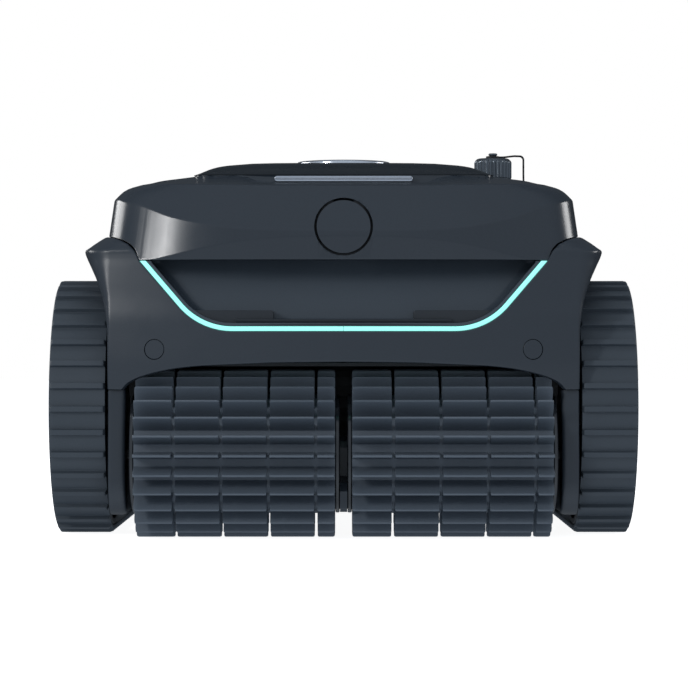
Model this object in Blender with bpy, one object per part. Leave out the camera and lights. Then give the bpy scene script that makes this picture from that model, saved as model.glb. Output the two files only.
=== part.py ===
"""Cordless tracked pool cleaner: a sealed hull on two caterpillar tracks, with a two-part brush in front.

Metres, +Z up. The origin is on the ground under the middle of the machine. The front faces -Y.
"""

import math

import bmesh
import bpy
from mathutils import Matrix, Vector

MM = 0.001
GAP = 0.3 * MM  # between pieces that touch

# Tracks
TRACK_RADIUS = 95 * MM  # over the cleats
TRACK_INNER_X = 172 * MM
TRACK_OUTER_X = 214 * MM
CLEAT_HEIGHT = 3.2 * MM
CLEAT_TIP = 3.7 * MM
CLEAT_COUNT = 61
BELT_THICKNESS = 2.3 * MM
WHEEL_CLEARANCE = 1 * MM
FRONT_AXLE_Y = -97.5 * MM
REAR_AXLE_Y = 117.5 * MM
AXLE_Z = TRACK_RADIUS
AXLE_RADIUS = 5 * MM
HUB_CAP_X = 217.5 * MM

# Roller brush
BRUSH_Y = -162.5 * MM
BRUSH_Z = 62 * MM
BRUSH_RADIUS = 61.5 * MM
BRUSH_CORE_RADIUS = 41 * MM
BRUSH_DISC_RADIUS = 43.5 * MM
BRUSH_INNER_X = 2.9 * MM
BRUSH_OUTER_X = 154.5 * MM
BRUSH_DISC = 3 * MM
VANE_COUNT = 27
VANE_TIP = 2.0 * MM
BRUSH_SHAFT_RADIUS = 4 * MM

# Gear train from the front wheel to the brush
GEAR_MODULE = 2 * MM
WHEEL_TEETH = 30
IDLER_TEETH = 15
BRUSH_TEETH = 14

# Side plates, which are also the pillars beside the brush
PLATE_INNER_X = 161 * MM
PLATE_OUTER_X = 171 * MM
PLATE_BOTTOM = 17 * MM
PLATE_TOP = 108.7 * MM
PLATE_FRONT_Y = -190 * MM
PLATE_REAR_Y = 196 * MM
GEAR_ROOM_X = 163.5 * MM
GEAR_OUTER_X = 167.4 * MM
GEAR_EAR_RADIUS = 35 * MM

# Hull
WALL = 3 * MM
SHELL_BOTTOM = 109 * MM
SEAM_FRONT = 203 * MM
SEAM_SIDE = 221 * MM
DECK_TOP = 268 * MM
LID_TOP = 282 * MM
LID_HINGE_Y = 3 * MM
LID_HINGE_Z = 273.5 * MM
OUTLET_Y = 55 * MM
PORT_X = 119 * MM
PORT_Y = 18 * MM
BUTTON_Z = 227 * MM
BUTTON_RADIUS = 19.35 * MM
BUTTON_TRAVEL = 2.5 * MM
BUTTON_HOLE = 21.15 * MM
SCREW_COVER_X = 136.5 * MM
SCREW_COVER_Z = 138.3 * MM
SCREW_COVER_RADIUS = 7.1 * MM
FRONT_CAP_DEPTH = 60 * MM
REAR_CAP_DEPTH = 70 * MM
CAP_POWER = 3
CORNER_POWER = 12  # of the lower shell's crisp front corner
FRONT_SAG = 20 * MM  # how far that front falls back from its middle to its corner
SOFT_CORNER = (150 * MM, 200 * MM)  # heights between which the crisp corner turns into the round one

# Outline of the lower shell against height: (height, half width, front, rear)
LOWER_PROFILE = [
    (109 * MM, 171 * MM, 213 * MM, 208 * MM),
    (131 * MM, 171 * MM, 216 * MM, 212 * MM),
    (160 * MM, 171.5 * MM, 215 * MM, 214 * MM),
    (174 * MM, 174 * MM, 213 * MM, 214 * MM),
    (188 * MM, 179 * MM, 211 * MM, 213 * MM),
    (198 * MM, 184.5 * MM, 209 * MM, 211 * MM),
    (207 * MM, 189.5 * MM, 208 * MM, 209 * MM),
    (213 * MM, 182 * MM, 208 * MM, 207 * MM),
    (221 * MM, 175 * MM, 208 * MM, 205 * MM),
]

# Outline of the upper shell against height, in the same order
UPPER_PROFILE = [
    (221 * MM, 175 * MM, 206.5 * MM, 203 * MM),
    (236 * MM, 170 * MM, 203 * MM, 198 * MM),
    (248 * MM, 168 * MM, 196 * MM, 190 * MM),
    (255 * MM, 161 * MM, 190.5 * MM, 182 * MM),
    (260.5 * MM, 149 * MM, 174 * MM, 172 * MM),
    (263.3 * MM, 139 * MM, 139 * MM, 160 * MM),
    (266 * MM, 130 * MM, 112 * MM, 145 * MM),
    (DECK_TOP, 122 * MM, 92 * MM, 125 * MM),
]

# Seam between the two shells: (distance from the middle, height)
SEAM = [
    (147 * MM, SEAM_FRONT),
    (155 * MM, 213 * MM),
    (167 * MM, 219 * MM),
    (171 * MM, SEAM_SIDE),
]

# Lower edge of the front shell over the brush: (distance from the middle, height)
ARCH = [
    (0, 129.5 * MM),
    (68 * MM, 128 * MM),
    (104 * MM, 126.2 * MM),
    (122 * MM, 124.2 * MM),
    (137 * MM, 121.1 * MM),
    (147 * MM, 119.5 * MM),
    (160 * MM, 113.5 * MM),
    (165 * MM, SHELL_BOTTOM),
]

# Light strip round the hand recess
STRIP_WIDTH = 3.9 * MM
STRIP_DEPTH = 4 * MM
STRIP_LOW_Z = 153.5 * MM
STRIP_BEND_RADIUS = 50 * MM
STRIP_SLOPE = math.radians(49)
STRIP_TOP_X = 146 * MM


# ---------------------------------------------------------------- materials


def material(name, colour, roughness, metallic=0.0, emission=0.0):
    made = bpy.data.materials.new(name)
    made.use_nodes = True
    made.diffuse_color = (*colour, 1)
    shader = made.node_tree.nodes["Principled BSDF"]
    shader.inputs["Base Color"].default_value = (*colour, 1)
    shader.inputs["Roughness"].default_value = roughness
    shader.inputs["Metallic"].default_value = metallic
    if emission:
        shader.inputs["Emission Color"].default_value = (*colour, 1)
        shader.inputs["Emission Strength"].default_value = emission
    return made


# ---------------------------------------------------------------- shape tools


def interpolate(table, at, column=1):
    """Reads a table of rows, in rising order of their first value, at one value."""
    if at <= table[0][0]:
        return table[0][column]
    for low, high in zip(table, table[1:]):
        if at <= high[0]:
            share = (at - low[0]) / (high[0] - low[0])
            return low[column] + share * (high[column] - low[column])
    return table[-1][column]


def finish_object(name, bm, mat, pivot=(0, 0, 0), smooth=None):
    """Makes an object whose origin is at the pivot from a mesh in world space."""
    bmesh.ops.remove_doubles(bm, verts=bm.verts, dist=1e-7)
    bmesh.ops.recalc_face_normals(bm, faces=bm.faces)
    bm.transform(Matrix.Translation(-Vector(pivot)))
    mesh = bpy.data.meshes.new(name)
    bm.to_mesh(mesh)
    bm.free()
    if smooth:
        mesh.shade_smooth()
        mesh.set_sharp_from_angle(angle=math.radians(smooth))
    made = bpy.data.objects.new(name, mesh)
    made.location = pivot
    bpy.context.scene.collection.objects.link(made)
    if mat:
        mesh.materials.append(mat)
    return made


def placed(axis, u, v, w):
    """A point whose section coordinates are u and v and whose distance along the axis is w."""
    return {"X": (w, u, v), "Y": (u, w, v), "Z": (u, v, w)}[axis]


def prism(name, axis, outline, low, high, mat, holes=(), pivot=(0, 0, 0), smooth=None):
    """A flat outline, with holes through it, drawn out along an axis."""
    bm = bmesh.new()
    edges = []
    for loop in (outline, *holes):
        corners = [bm.verts.new(placed(axis, u, v, low)) for u, v in loop]
        edges += [bm.edges.new((a, b)) for a, b in zip(corners, corners[1:] + corners[:1])]
    if holes:
        bmesh.ops.triangle_fill(bm, edges=edges, use_beauty=True)
    else:
        bmesh.ops.contextual_create(bm, geom=edges)
    drawn = bmesh.ops.extrude_face_region(bm, geom=bm.faces[:])
    shift = Vector(placed(axis, 0, 0, high - low))
    moved = [item for item in drawn["geom"] if isinstance(item, bmesh.types.BMVert)]
    bmesh.ops.translate(bm, verts=moved, vec=shift)
    return finish_object(name, bm, mat, pivot, smooth)


def turned(name, axis, centre, profile, mat, segments=32, pivot=None, smooth=40):
    """A closed profile of (radius, distance) corners, turned round an axis through the centre."""
    bm = bmesh.new()
    out = Vector(placed(axis, 1, 0, 0))
    along = Vector(placed(axis, 0, 0, 1))
    centre = Vector(centre)
    corners = [bm.verts.new(centre + out * r + along * h) for r, h in profile]
    edges = [bm.edges.new((a, b)) for a, b in zip(corners, corners[1:] + corners[:1])]
    bmesh.ops.spin(
        bm,
        geom=corners + edges,
        cent=centre,
        axis=along,
        angle=2 * math.pi,
        steps=segments,
        use_merge=True,
    )
    bmesh.ops.dissolve_degenerate(bm, dist=1e-7, edges=bm.edges[:])
    return finish_object(name, bm, mat, centre if pivot is None else pivot, smooth)


def box(name, low, high, mat, pivot=(0, 0, 0)):
    outline = rectangle(low[0], high[0], low[1], high[1])
    return prism(name, "Z", outline, low[2], high[2], mat, pivot=pivot)


def loft(name, rings, mat, smooth=30):
    """Joins rings of the same number of points, and closes the last ring on the first."""
    bm = bmesh.new()
    rows = [[bm.verts.new(point) for point in ring] for ring in rings]
    for row, next_row in zip(rows, rows[1:] + rows[:1]):
        for i in range(len(row)):
            j = (i + 1) % len(row)
            bm.faces.new((row[i], row[j], next_row[j], next_row[i]))
    return finish_object(name, bm, mat, smooth=smooth)


def capped_loft(name, rings, mat, smooth=30):
    """Joins rings of the same number of points, with a flat face on the first and on the last."""
    bm = bmesh.new()
    rows = [[bm.verts.new(point) for point in ring] for ring in rings]
    for row, next_row in zip(rows, rows[1:]):
        for i in range(len(row)):
            j = (i + 1) % len(row)
            bm.faces.new((row[i], row[j], next_row[j], next_row[i]))
    bm.faces.new(rows[0])
    bm.faces.new(rows[-1])
    return finish_object(name, bm, mat, smooth=smooth)


def cup_loft(name, outer, inner, mat, smooth=30):
    """A shell with a closed top and an open bottom: both lists of rings run from the bottom up."""
    bm = bmesh.new()
    rows = [[bm.verts.new(point) for point in ring] for ring in outer[::-1] + inner]
    for row, next_row in zip(rows, rows[1:]):
        for i in range(len(row)):
            j = (i + 1) % len(row)
            bm.faces.new((row[i], row[j], next_row[j], next_row[i]))
    bm.faces.new(rows[0])
    bm.faces.new(rows[-1])
    return finish_object(name, bm, mat, smooth=smooth)


def combine(base, other, operation):
    """Applies a Boolean with another object at once, and removes that object."""
    modifier = base.modifiers.new(operation.lower(), "BOOLEAN")
    modifier.operation = operation
    modifier.solver = "EXACT"
    modifier.object = other
    bpy.context.view_layer.update()
    evaluated = base.evaluated_get(bpy.context.evaluated_depsgraph_get())
    result = bpy.data.meshes.new_from_object(evaluated)
    base.modifiers.remove(modifier)
    base.data = result
    bpy.data.objects.remove(other)
    return base


def cut(base, *cutters):
    for cutter in cutters:
        combine(base, cutter, "DIFFERENCE")
    return base


def unite(base, *others):
    for other in others:
        combine(base, other, "UNION")
    return base


def rectangle(u0, u1, v0, v1):
    return [(u0, v0), (u1, v0), (u1, v1), (u0, v1)]


def circle(u, v, radius, count=20):
    turns = [2 * math.pi * i / count for i in range(count)]
    return [(u + radius * math.cos(t), v + radius * math.sin(t)) for t in turns]


def arc(u, v, radius, start, end, count):
    """Points on an arc, angles in degrees."""
    angles = [math.radians(start + (end - start) * i / count) for i in range(count + 1)]
    return [(u + radius * math.cos(t), v + radius * math.sin(t)) for t in angles]


def rounded(u0, u1, v0, v1, radius, count=4):
    """A rectangle with round corners."""
    return (
        arc(u1 - radius, v1 - radius, radius, 0, 90, count)
        + arc(u0 + radius, v1 - radius, radius, 90, 180, count)
        + arc(u0 + radius, v0 + radius, radius, 180, 270, count)
        + arc(u1 - radius, v0 + radius, radius, 270, 360, count)
    )


# ---------------------------------------------------------------- hull outline

CAP_STEPS = 7
SIDE_STEPS = 3


def stations():
    """(side share, part of the hull, share of that part) of each corner of the plan, all the way round."""
    turns = [math.pi / 2 * i / CAP_STEPS for i in range(CAP_STEPS + 1)]
    curve = [(math.sin(t) ** (2 / CAP_POWER), math.cos(t) ** (2 / CAP_POWER)) for t in turns]
    half = [(side, "front", share) for side, share in curve]
    half += [(1, "side", i / SIDE_STEPS) for i in range(1, SIDE_STEPS)]
    half += [(side, "rear", share) for side, share in reversed(curve)]
    mirrored = [(-side, part, share) for side, part, share in half[-2:0:-1]]
    return half + mirrored


def front_share(side, z):
    """How far the hull's front stands out of its shoulders, as a share of the cap's depth."""
    side = min(1, abs(side))
    round_share = (1 - side**CAP_POWER) ** (1 / CAP_POWER)
    sag = FRONT_SAG / FRONT_CAP_DEPTH * side**2
    crisp_share = (1 - sag) * (1 - side**CORNER_POWER) ** (1 / CORNER_POWER)
    low, high = SOFT_CORNER
    soft = min(1, max(0, (z - low) / (high - low)))
    return crisp_share + soft * (round_share - crisp_share)


def plan_point(station, width, front, rear, z):
    side, part, share = station
    front_shoulder = -(front - FRONT_CAP_DEPTH)
    rear_shoulder = rear - REAR_CAP_DEPTH
    if part == "front":
        y = front_shoulder - FRONT_CAP_DEPTH * front_share(side, z)
    elif part == "side":
        y = front_shoulder + share * (rear_shoulder - front_shoulder)
    else:
        y = rear_shoulder + REAR_CAP_DEPTH * share
    return side * width, y


def shell_point(profile, station, z, inset=0.0):
    """A point of a shell's surface at one station and height, set in by the inset."""
    size = [interpolate(profile, z, column) - inset for column in (1, 2, 3)]
    return (*plan_point(station, *size, z), z)


def front_y(x, z):
    """Where the front of the lower shell is, at one distance from the middle and one height."""
    width = interpolate(LOWER_PROFILE, z, 1)
    front = interpolate(LOWER_PROFILE, z, 2)
    return -(front - FRONT_CAP_DEPTH) - FRONT_CAP_DEPTH * front_share(x / width, z)


def nominal_x(station):
    return abs(station[0]) * PLATE_OUTER_X


def seam_height(station):
    return SEAM_SIDE if station[1] != "front" else interpolate(SEAM, nominal_x(station))


def arch_height(station):
    return SHELL_BOTTOM if station[1] != "front" else interpolate(ARCH, nominal_x(station))


def strip_path(offset=0.0):
    """The light strip's line from end to end, moved outwards by an offset: (x, z) points."""
    bend_rise = STRIP_BEND_RADIUS * (1 - math.cos(STRIP_SLOPE))
    straight = (SEAM_FRONT - STRIP_LOW_Z - bend_rise) / math.tan(STRIP_SLOPE)
    bend_x = STRIP_TOP_X - straight - STRIP_BEND_RADIUS * math.sin(STRIP_SLOPE)
    centre_z = STRIP_LOW_Z + STRIP_BEND_RADIUS
    turn = math.degrees(STRIP_SLOPE)
    half = arc(bend_x, centre_z, STRIP_BEND_RADIUS + offset, -90, -90 + turn, 6)
    half.append((STRIP_TOP_X + offset / math.sin(STRIP_SLOPE), SEAM_FRONT))
    return [(-x, z) for x, z in reversed(half)] + half


# ---------------------------------------------------------------- materials used

SHELL = material("shell_plastic", (0.042, 0.053, 0.066), 0.35)
DARK = material("dark_plastic", (0.016, 0.018, 0.021), 0.4)
TREAD = material("tread_rubber", (0.035, 0.043, 0.052), 0.65)
VANES = material("brush_rubber", (0.03, 0.037, 0.046), 0.55)
GLOSS = material("gloss_plastic", (0.02, 0.022, 0.026), 0.12)
LIGHT = material("light_strip", (0.34, 0.88, 0.81), 0.3, emission=2.0)
SILVER = material("silver_trim", (0.36, 0.39, 0.44), 0.25, 0.8)
STEEL = material("steel", (0.5, 0.5, 0.5), 0.3, 1.0)
NYLON = material("nylon_gear", (0.62, 0.62, 0.58), 0.5)
SCREEN = material("filter_screen", (0.25, 0.28, 0.3), 0.6)
CELL = material("battery_wrap", (0.02, 0.1, 0.24), 0.4)
SEAL = material("seal_rubber", (0.01, 0.01, 0.011), 0.7)

SIDES = (("left", -1), ("right", 1))


def span(side, low, high):
    """The X limits of a piece that lies between two distances from the middle, on one side."""
    return (low, high) if side > 0 else (-high, -low)


def on_side(side, profile):
    return [(r, side * h) for r, h in profile]


def stadium(radius, steps):
    """The outline round both wheels at one radius: (y, z) points."""
    rear = arc(REAR_AXLE_Y, AXLE_Z, radius, -90, 90, steps)
    return rear + arc(FRONT_AXLE_Y, AXLE_Z, radius, 90, 270, steps)


# ---------------------------------------------------------------- shells


def make_lower_shell():
    plan = stations()
    rows = 7
    inner_width = PLATE_OUTER_X - WALL
    outer, inner = [], []
    for i in range(rows + 1):
        ring = []
        for s in plan:
            low, high = arch_height(s), seam_height(s) - 2 * GAP
            ring.append(shell_point(LOWER_PROFILE, s, low + i / rows * (high - low)))
        outer.append(ring)
        inset = [shell_point(LOWER_PROFILE, s, point[2], WALL) for s, point in zip(plan, ring)]
        inner.append([(max(-inner_width, min(inner_width, x)), y, z) for x, y, z in inset])
    made = loft("lower_shell", outer + inner[::-1], SHELL)
    well = stadium(TRACK_RADIUS + 3 * MM, 14)
    mouth = strip_path(STRIP_WIDTH / 2 + GAP)
    above = SEAM_FRONT + 20 * MM
    mouth = [(mouth[0][0] - 3 * MM, above)] + mouth + [(mouth[-1][0] + 3 * MM, above)]
    cut(made, prism("mouth", "Y", mouth, -240 * MM, -160 * MM, None))
    for _, side in SIDES:
        limits = span(side, TRACK_INNER_X - 1.2 * MM, 260 * MM)
        hole = circle(side * SCREW_COVER_X, SCREW_COVER_Z, SCREW_COVER_RADIUS + GAP)
        cut(made, prism("well", "X", well, *limits, None))
        cut(made, prism("hole", "Y", hole, -240 * MM, -160 * MM, None))
    return made


def make_upper_shell():
    plan = stations()
    heights = [row[0] for row in UPPER_PROFILE if row[0] > SEAM_SIDE]

    def rings(inset):
        found = [[shell_point(LOWER_PROFILE, s, seam_height(s), inset) for s in plan]]
        for z in heights:
            found.append([shell_point(UPPER_PROFILE, s, z, inset) for s in plan])
        return found

    hollow = [[(x, y, z - WALL * (z > 250 * MM)) for x, y, z in ring] for ring in rings(WALL)]
    made = cup_loft("upper_shell", rings(0), hollow, SHELL)
    cut(made, box("lid_opening", (-100 * MM, -124 * MM, 255 * MM), (100 * MM, -14 * MM, 275 * MM), None))
    for u, v, radius in ((0, OUTLET_Y, 37 * MM), (PORT_X, PORT_Y, 10.5 * MM)):
        cut(made, prism("hole", "Z", circle(u, v, radius, 24), 255 * MM, 275 * MM, None))
    button = circle(0, BUTTON_Z, BUTTON_HOLE, 28)
    return cut(made, prism("hole", "Y", button, -230 * MM, -180 * MM, None))


def make_grip_recess():
    """The tray behind the mouth of the front shell: deep at the top, with a raised block at each end."""

    def ring(offset, in_front, depth_low, depth_high):
        points = []
        for x, z in strip_path(offset):
            share = max(0, (z - STRIP_LOW_Z) / (SEAM_FRONT - STRIP_LOW_Z))
            y = front_y(x, z) if in_front else front_y(0, z)
            height = z - GAP if z == SEAM_FRONT else z
            points.append((x, y + depth_low + share * (depth_high - depth_low), height))
        return points

    border = -STRIP_WIDTH / 2 - GAP
    wall = 2.5 * MM
    outside = [ring(border, True, 0.6 * MM, 0.6 * MM), ring(border, False, 24 * MM, 38 * MM)]
    inside = [ring(border - wall, True, -8 * MM, -8 * MM), ring(border - wall, False, 20 * MM, 34 * MM)]
    for points in inside:
        points[0] = (points[0][0], points[0][1], SEAM_FRONT + 10 * MM)
        points[-1] = (points[-1][0], points[-1][1], SEAM_FRONT + 10 * MM)
    made = cut(capped_loft("grip_recess", outside, SHELL), capped_loft("inside", inside, None))
    for _, side in SIDES:
        low = (min(side * 50.5 * MM, side * 76 * MM), -204 * MM, STRIP_LOW_Z + 3 * MM)
        high = (max(side * 50.5 * MM, side * 76 * MM), -190 * MM, 166.5 * MM)
        unite(made, box("block", low, high, None))
    return made


def make_light_strip():
    """A thin bar that follows the mouth's edge and the bow of the front."""
    rows = []
    for offset, depth in ((-1, 0), (1, 0), (1, 1), (-1, 1)):
        line = strip_path(offset * STRIP_WIDTH / 2)
        rows.append([(x, front_y(x, z) + depth * STRIP_DEPTH, min(z, SEAM_FRONT - GAP)) for x, z in line])
    return capped_loft("light_strip", [list(section) for section in zip(*rows)], LIGHT)


def make_screw_cover(name, side):
    face = front_y(SCREW_COVER_X, SCREW_COVER_Z)
    centre = (side * SCREW_COVER_X, face, SCREW_COVER_Z)
    profile = [(0, 0), (SCREW_COVER_RADIUS, 0), (SCREW_COVER_RADIUS, 6 * MM), (0, 6 * MM)]
    return turned("screw_cover_" + name, "Y", centre, profile, SHELL, 16)


# ---------------------------------------------------------------- lid and latch


def pin_bore(low, high):
    bore = circle(LID_HINGE_Y, LID_HINGE_Z, 2.3 * MM, 12)
    return prism("bore", "X", bore, low - MM, high + MM, None)


def make_lid():
    front, rear = -133 * MM, -3 * MM
    foot = DECK_TOP + GAP

    def ring(inset, z, radius=12 * MM):
        outline = rounded(-112 * MM + inset, 112 * MM - inset, front + inset, rear - inset * 0.4, radius, 3)
        return [(x, y, z) for x, y in outline]

    pivot = (0, LID_HINGE_Y, LID_HINGE_Z)
    outside = [ring(0, foot), ring(8 * MM, foot + 7 * MM)]
    outside += [ring(17 * MM, LID_TOP - 1.5 * MM), ring(22 * MM, LID_TOP)]
    inside = [ring(2 * MM, foot - 5 * MM), ring(2.6 * MM, foot), ring(10.6 * MM, foot + 5 * MM)]
    inside.append(ring(20 * MM, LID_TOP - 3 * MM))
    made = cut(capped_loft("lid", outside, SHELL), capped_loft("inside", inside, None))
    for _, side in SIDES:
        low, high = span(side, 70 * MM, 80 * MM)
        arm = [(-8 * MM, foot + 1 * MM), (LID_HINGE_Y, foot + 1 * MM), (LID_HINGE_Y, foot + 6 * MM)]
        arm.append((-8 * MM, foot + 8 * MM))
        unite(made, prism("arm", "X", arm, low, high, None))
        unite(made, prism("eye", "X", circle(LID_HINGE_Y, LID_HINGE_Z, 4.5 * MM, 14), low, high, None))
        cut(made, pin_bore(low, high))
    made.data.transform(Matrix.Translation(-Vector(pivot)))
    made.location = pivot
    return made


def add_lid_seat(shell_object):
    """The rim round the lid's opening, and the lugs that hold the lid's pin outside the lid's own eyes."""
    outer = rounded(-104 * MM, 104 * MM, -128 * MM, -10 * MM, 6 * MM, 2)
    inner = rectangle(-100 * MM, 100 * MM, -124 * MM, -14 * MM)
    unite(shell_object, prism("rim", "Z", outer, 258 * MM, DECK_TOP, None, holes=[inner]))
    for _, side in SIDES:
        low, high = span(side, 80.6 * MM, 86 * MM)
        post = rectangle(LID_HINGE_Y - 4 * MM, LID_HINGE_Y + 4 * MM, DECK_TOP - 2 * MM, LID_HINGE_Z)
        unite(shell_object, prism("post", "X", post, low, high, None))
        eye = circle(LID_HINGE_Y, LID_HINGE_Z, 4 * MM, 14)
        unite(shell_object, prism("eye", "X", eye, low, high, None))
        cut(shell_object, pin_bore(low, high))


def make_lid_pieces():
    pivot = (0, LID_HINGE_Y, LID_HINGE_Z)
    make_lid()
    pin = circle(LID_HINGE_Y, LID_HINGE_Z, 2 * MM, 10)
    prism("lid_hinge_pin", "X", pin, -86 * MM, 86 * MM, STEEL, smooth=40)
    grip = rounded(-51.5 * MM, 51.5 * MM, DECK_TOP - 3.6 * MM, DECK_TOP + 0.8 * MM, 2.1 * MM, 3)
    prism("lid_grip", "Y", grip, -139 * MM, -133.6 * MM, SILVER, pivot=pivot)
    outer = rounded(-104 * MM, 104 * MM, -127 * MM, -11 * MM, 9 * MM, 2)
    inner = rounded(-101 * MM, 101 * MM, -124.5 * MM, -13.5 * MM, 6 * MM, 2)
    prism("lid_seal", "Z", outer, DECK_TOP + GAP, DECK_TOP + 1.8 * MM, SEAL, holes=[inner], pivot=pivot)
    catch = [
        (-118 * MM, 274.5 * MM),
        (-118 * MM, 247.5 * MM),
        (-107 * MM, 247.5 * MM),
        (-107 * MM, 251 * MM),
        (-114 * MM, 251 * MM),
        (-114 * MM, 274.5 * MM),
    ]
    prism("lid_catch", "X", catch, -8 * MM, 8 * MM, DARK, pivot=pivot)


def make_latch():
    """The front push button, its bar, its spring and the cup that holds them."""
    face = -205 * MM
    centre = (0, face, BUTTON_Z)
    profile = [(0, 0), (18 * MM, 0), (BUTTON_RADIUS, 1.2 * MM), (BUTTON_RADIUS, 6 * MM), (0, 6 * MM)]
    turned("latch_button", "Y", centre, profile, SHELL, 24)
    back = face + 6 * MM + GAP
    bar = [
        (back, BUTTON_Z + 8 * MM),
        (back, BUTTON_Z + 15 * MM),
        (-160 * MM, 245 * MM),
        (-102.5 * MM, 245 * MM),
        (-102.5 * MM, 251.5 * MM),
        (-106.3 * MM, 251.5 * MM),
        (-106.3 * MM, 254 * MM),
        (-99 * MM, 254 * MM),
        (-99 * MM, 241 * MM),
        (-160 * MM, 241 * MM),
        (-185 * MM, BUTTON_Z + 8 * MM),
    ]
    prism("latch_bar", "X", bar, -6 * MM, 6 * MM, DARK, pivot=centre)
    spring = [(4 * MM, 0), (5.4 * MM, 0), (5.4 * MM, 14.8 * MM), (4 * MM, 14.8 * MM)]
    turned("latch_spring", "Y", (0, back, BUTTON_Z), spring, STEEL, 14)
    cup = [
        (0, 24 * MM),
        (21 * MM, 24 * MM),
        (21 * MM, 15 * MM),
        (19.6 * MM, 15 * MM),
        (19.6 * MM, 21.5 * MM),
        (0, 21.5 * MM),
    ]
    made = turned("button_housing", "Y", centre, cup, DARK, 24)
    low, high = (-7.5 * MM, face, BUTTON_Z + 5 * MM), (7.5 * MM, face + 30 * MM, BUTTON_Z + 30 * MM)
    made.data.transform(Matrix.Translation(Vector(centre)))
    made.location = (0, 0, 0)
    cut(made, box("slot", low, high, None))


# ---------------------------------------------------------------- chassis


def make_chassis_tub():
    """The open-topped tub that holds the works, with the roof over the brush on its front."""
    x, front, rear, low, high = 160.7 * MM, -91 * MM, 200 * MM, 22 * MM, 108 * MM
    made = box("chassis_tub", (-x, front, low), (x, rear, high), DARK)
    inside_low = (-x + WALL, front + WALL, low + WALL)
    cut(made, box("inside", inside_low, (x - WALL, rear - WALL, high + 9 * MM), None))
    hood_in, hood_out = BRUSH_RADIUS + 2.5 * MM, BRUSH_RADIUS + 5 * MM
    hood = arc(BRUSH_Y, BRUSH_Z, hood_in, 90, 0, 9)
    hood += [(front + WALL / 2, BRUSH_Z), (front + WALL / 2, BRUSH_Z + WALL)]
    hood += arc(BRUSH_Y, BRUSH_Z, hood_out, 3, 90, 9)
    hood += [(-177 * MM, BRUSH_Z + hood_out), (-177 * MM, BRUSH_Z + hood_in)]
    unite(made, prism("hood", "X", hood, -x, x, None))
    cut(made, box("inlet", (-110 * MM, -82 * MM, 15 * MM), (110 * MM, -54 * MM, 30 * MM), None))
    for _, side in SIDES:
        limits = span(side, 150 * MM, 165 * MM)
        cut(made, prism("hole", "X", circle(REAR_AXLE_Y, AXLE_Z, 7 * MM, 16), *limits, None))
    return made


def make_bottom_plate():
    x = 160.7 * MM
    slots = [rounded(*span(side, 12 * MM, 112 * MM), -80 * MM, -62 * MM, 5 * MM, 3) for _, side in SIDES]
    outline = rounded(-x, x, -91 * MM, 198 * MM, 10 * MM, 3)
    return prism("bottom_plate", "Z", outline, PLATE_BOTTOM, PLATE_BOTTOM + 4.7 * MM, DARK, holes=slots)


def idler_centre():
    """Where the idler gear meshes with both the wheel gear and the brush gear: (y, z)."""
    wheel = Vector((FRONT_AXLE_Y, AXLE_Z))
    brush = Vector((BRUSH_Y, BRUSH_Z))
    to_brush = brush - wheel
    first = GEAR_MODULE * (WHEEL_TEETH + IDLER_TEETH) / 2
    second = GEAR_MODULE * (BRUSH_TEETH + IDLER_TEETH) / 2
    along = (to_brush.length**2 + first**2 - second**2) / (2 * to_brush.length)
    across = math.sqrt(max(0, first**2 - along**2))
    unit = to_brush.normalized()
    return wheel + unit * along + Vector((-unit.y, unit.x)) * across


def plate_outline(inset):
    """The side plate's outline, drawn in by the inset: (y, z) points."""
    front, rear = PLATE_FRONT_Y + inset, PLATE_REAR_Y - inset
    low, high = PLATE_BOTTOM + inset, PLATE_TOP - inset
    radius = 26 * MM - inset
    points = arc(front + radius, low + radius, radius, 180, 270, 5)
    points += arc(rear - radius, low + radius, radius, 270, 360, 5)
    return points + [(rear, high), (front, high)]


def make_side_plate(name, side):
    """A shallow pan with the gear train inside, closed by the gear cover."""
    low, high = span(side, PLATE_INNER_X, PLATE_OUTER_X)
    made = prism("side_plate_" + name, "X", plate_outline(0), low, high, SHELL)
    room = span(side, GEAR_ROOM_X, 180 * MM)
    cut(made, prism("room", "X", plate_outline(3 * MM), *room, None))
    idler_y, idler_z = idler_centre()
    ear = arc(FRONT_AXLE_Y, AXLE_Z, GEAR_EAR_RADIUS, 10, 170, 12)
    unite(made, prism("ear", "X", ear, *span(side, PLATE_INNER_X, PLATE_OUTER_X - WALL - GAP), None))
    ear_room = circle(FRONT_AXLE_Y, AXLE_Z, GEAR_EAR_RADIUS - 2.5 * MM, 24)
    cut(made, prism("room", "X", ear_room, *room, None))
    post = span(side, GEAR_ROOM_X - MM, GEAR_OUTER_X)
    unite(made, prism("post", "X", circle(idler_y, idler_z, 3 * MM, 12), *post, None))
    through = span(side, 150 * MM, 180 * MM)
    shafts = [(FRONT_AXLE_Y, AXLE_Z, AXLE_RADIUS + GAP), (BRUSH_Y, BRUSH_Z, BRUSH_SHAFT_RADIUS + GAP)]
    shafts.append((REAR_AXLE_Y, AXLE_Z, 7 * MM))
    for y, z, radius in shafts:
        cut(made, prism("hole", "X", circle(y, z, radius, 16), *through, None))
    return made


def make_gear_cover(name, side):
    holes = [circle(y, AXLE_Z, 9.8 * MM, 16) for y in (FRONT_AXLE_Y, REAR_AXLE_Y)]
    limits = span(side, 168.7 * MM, 170.8 * MM)
    prism("gear_cover_" + name, "X", plate_outline(3.3 * MM), *limits, DARK, holes=holes)


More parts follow.
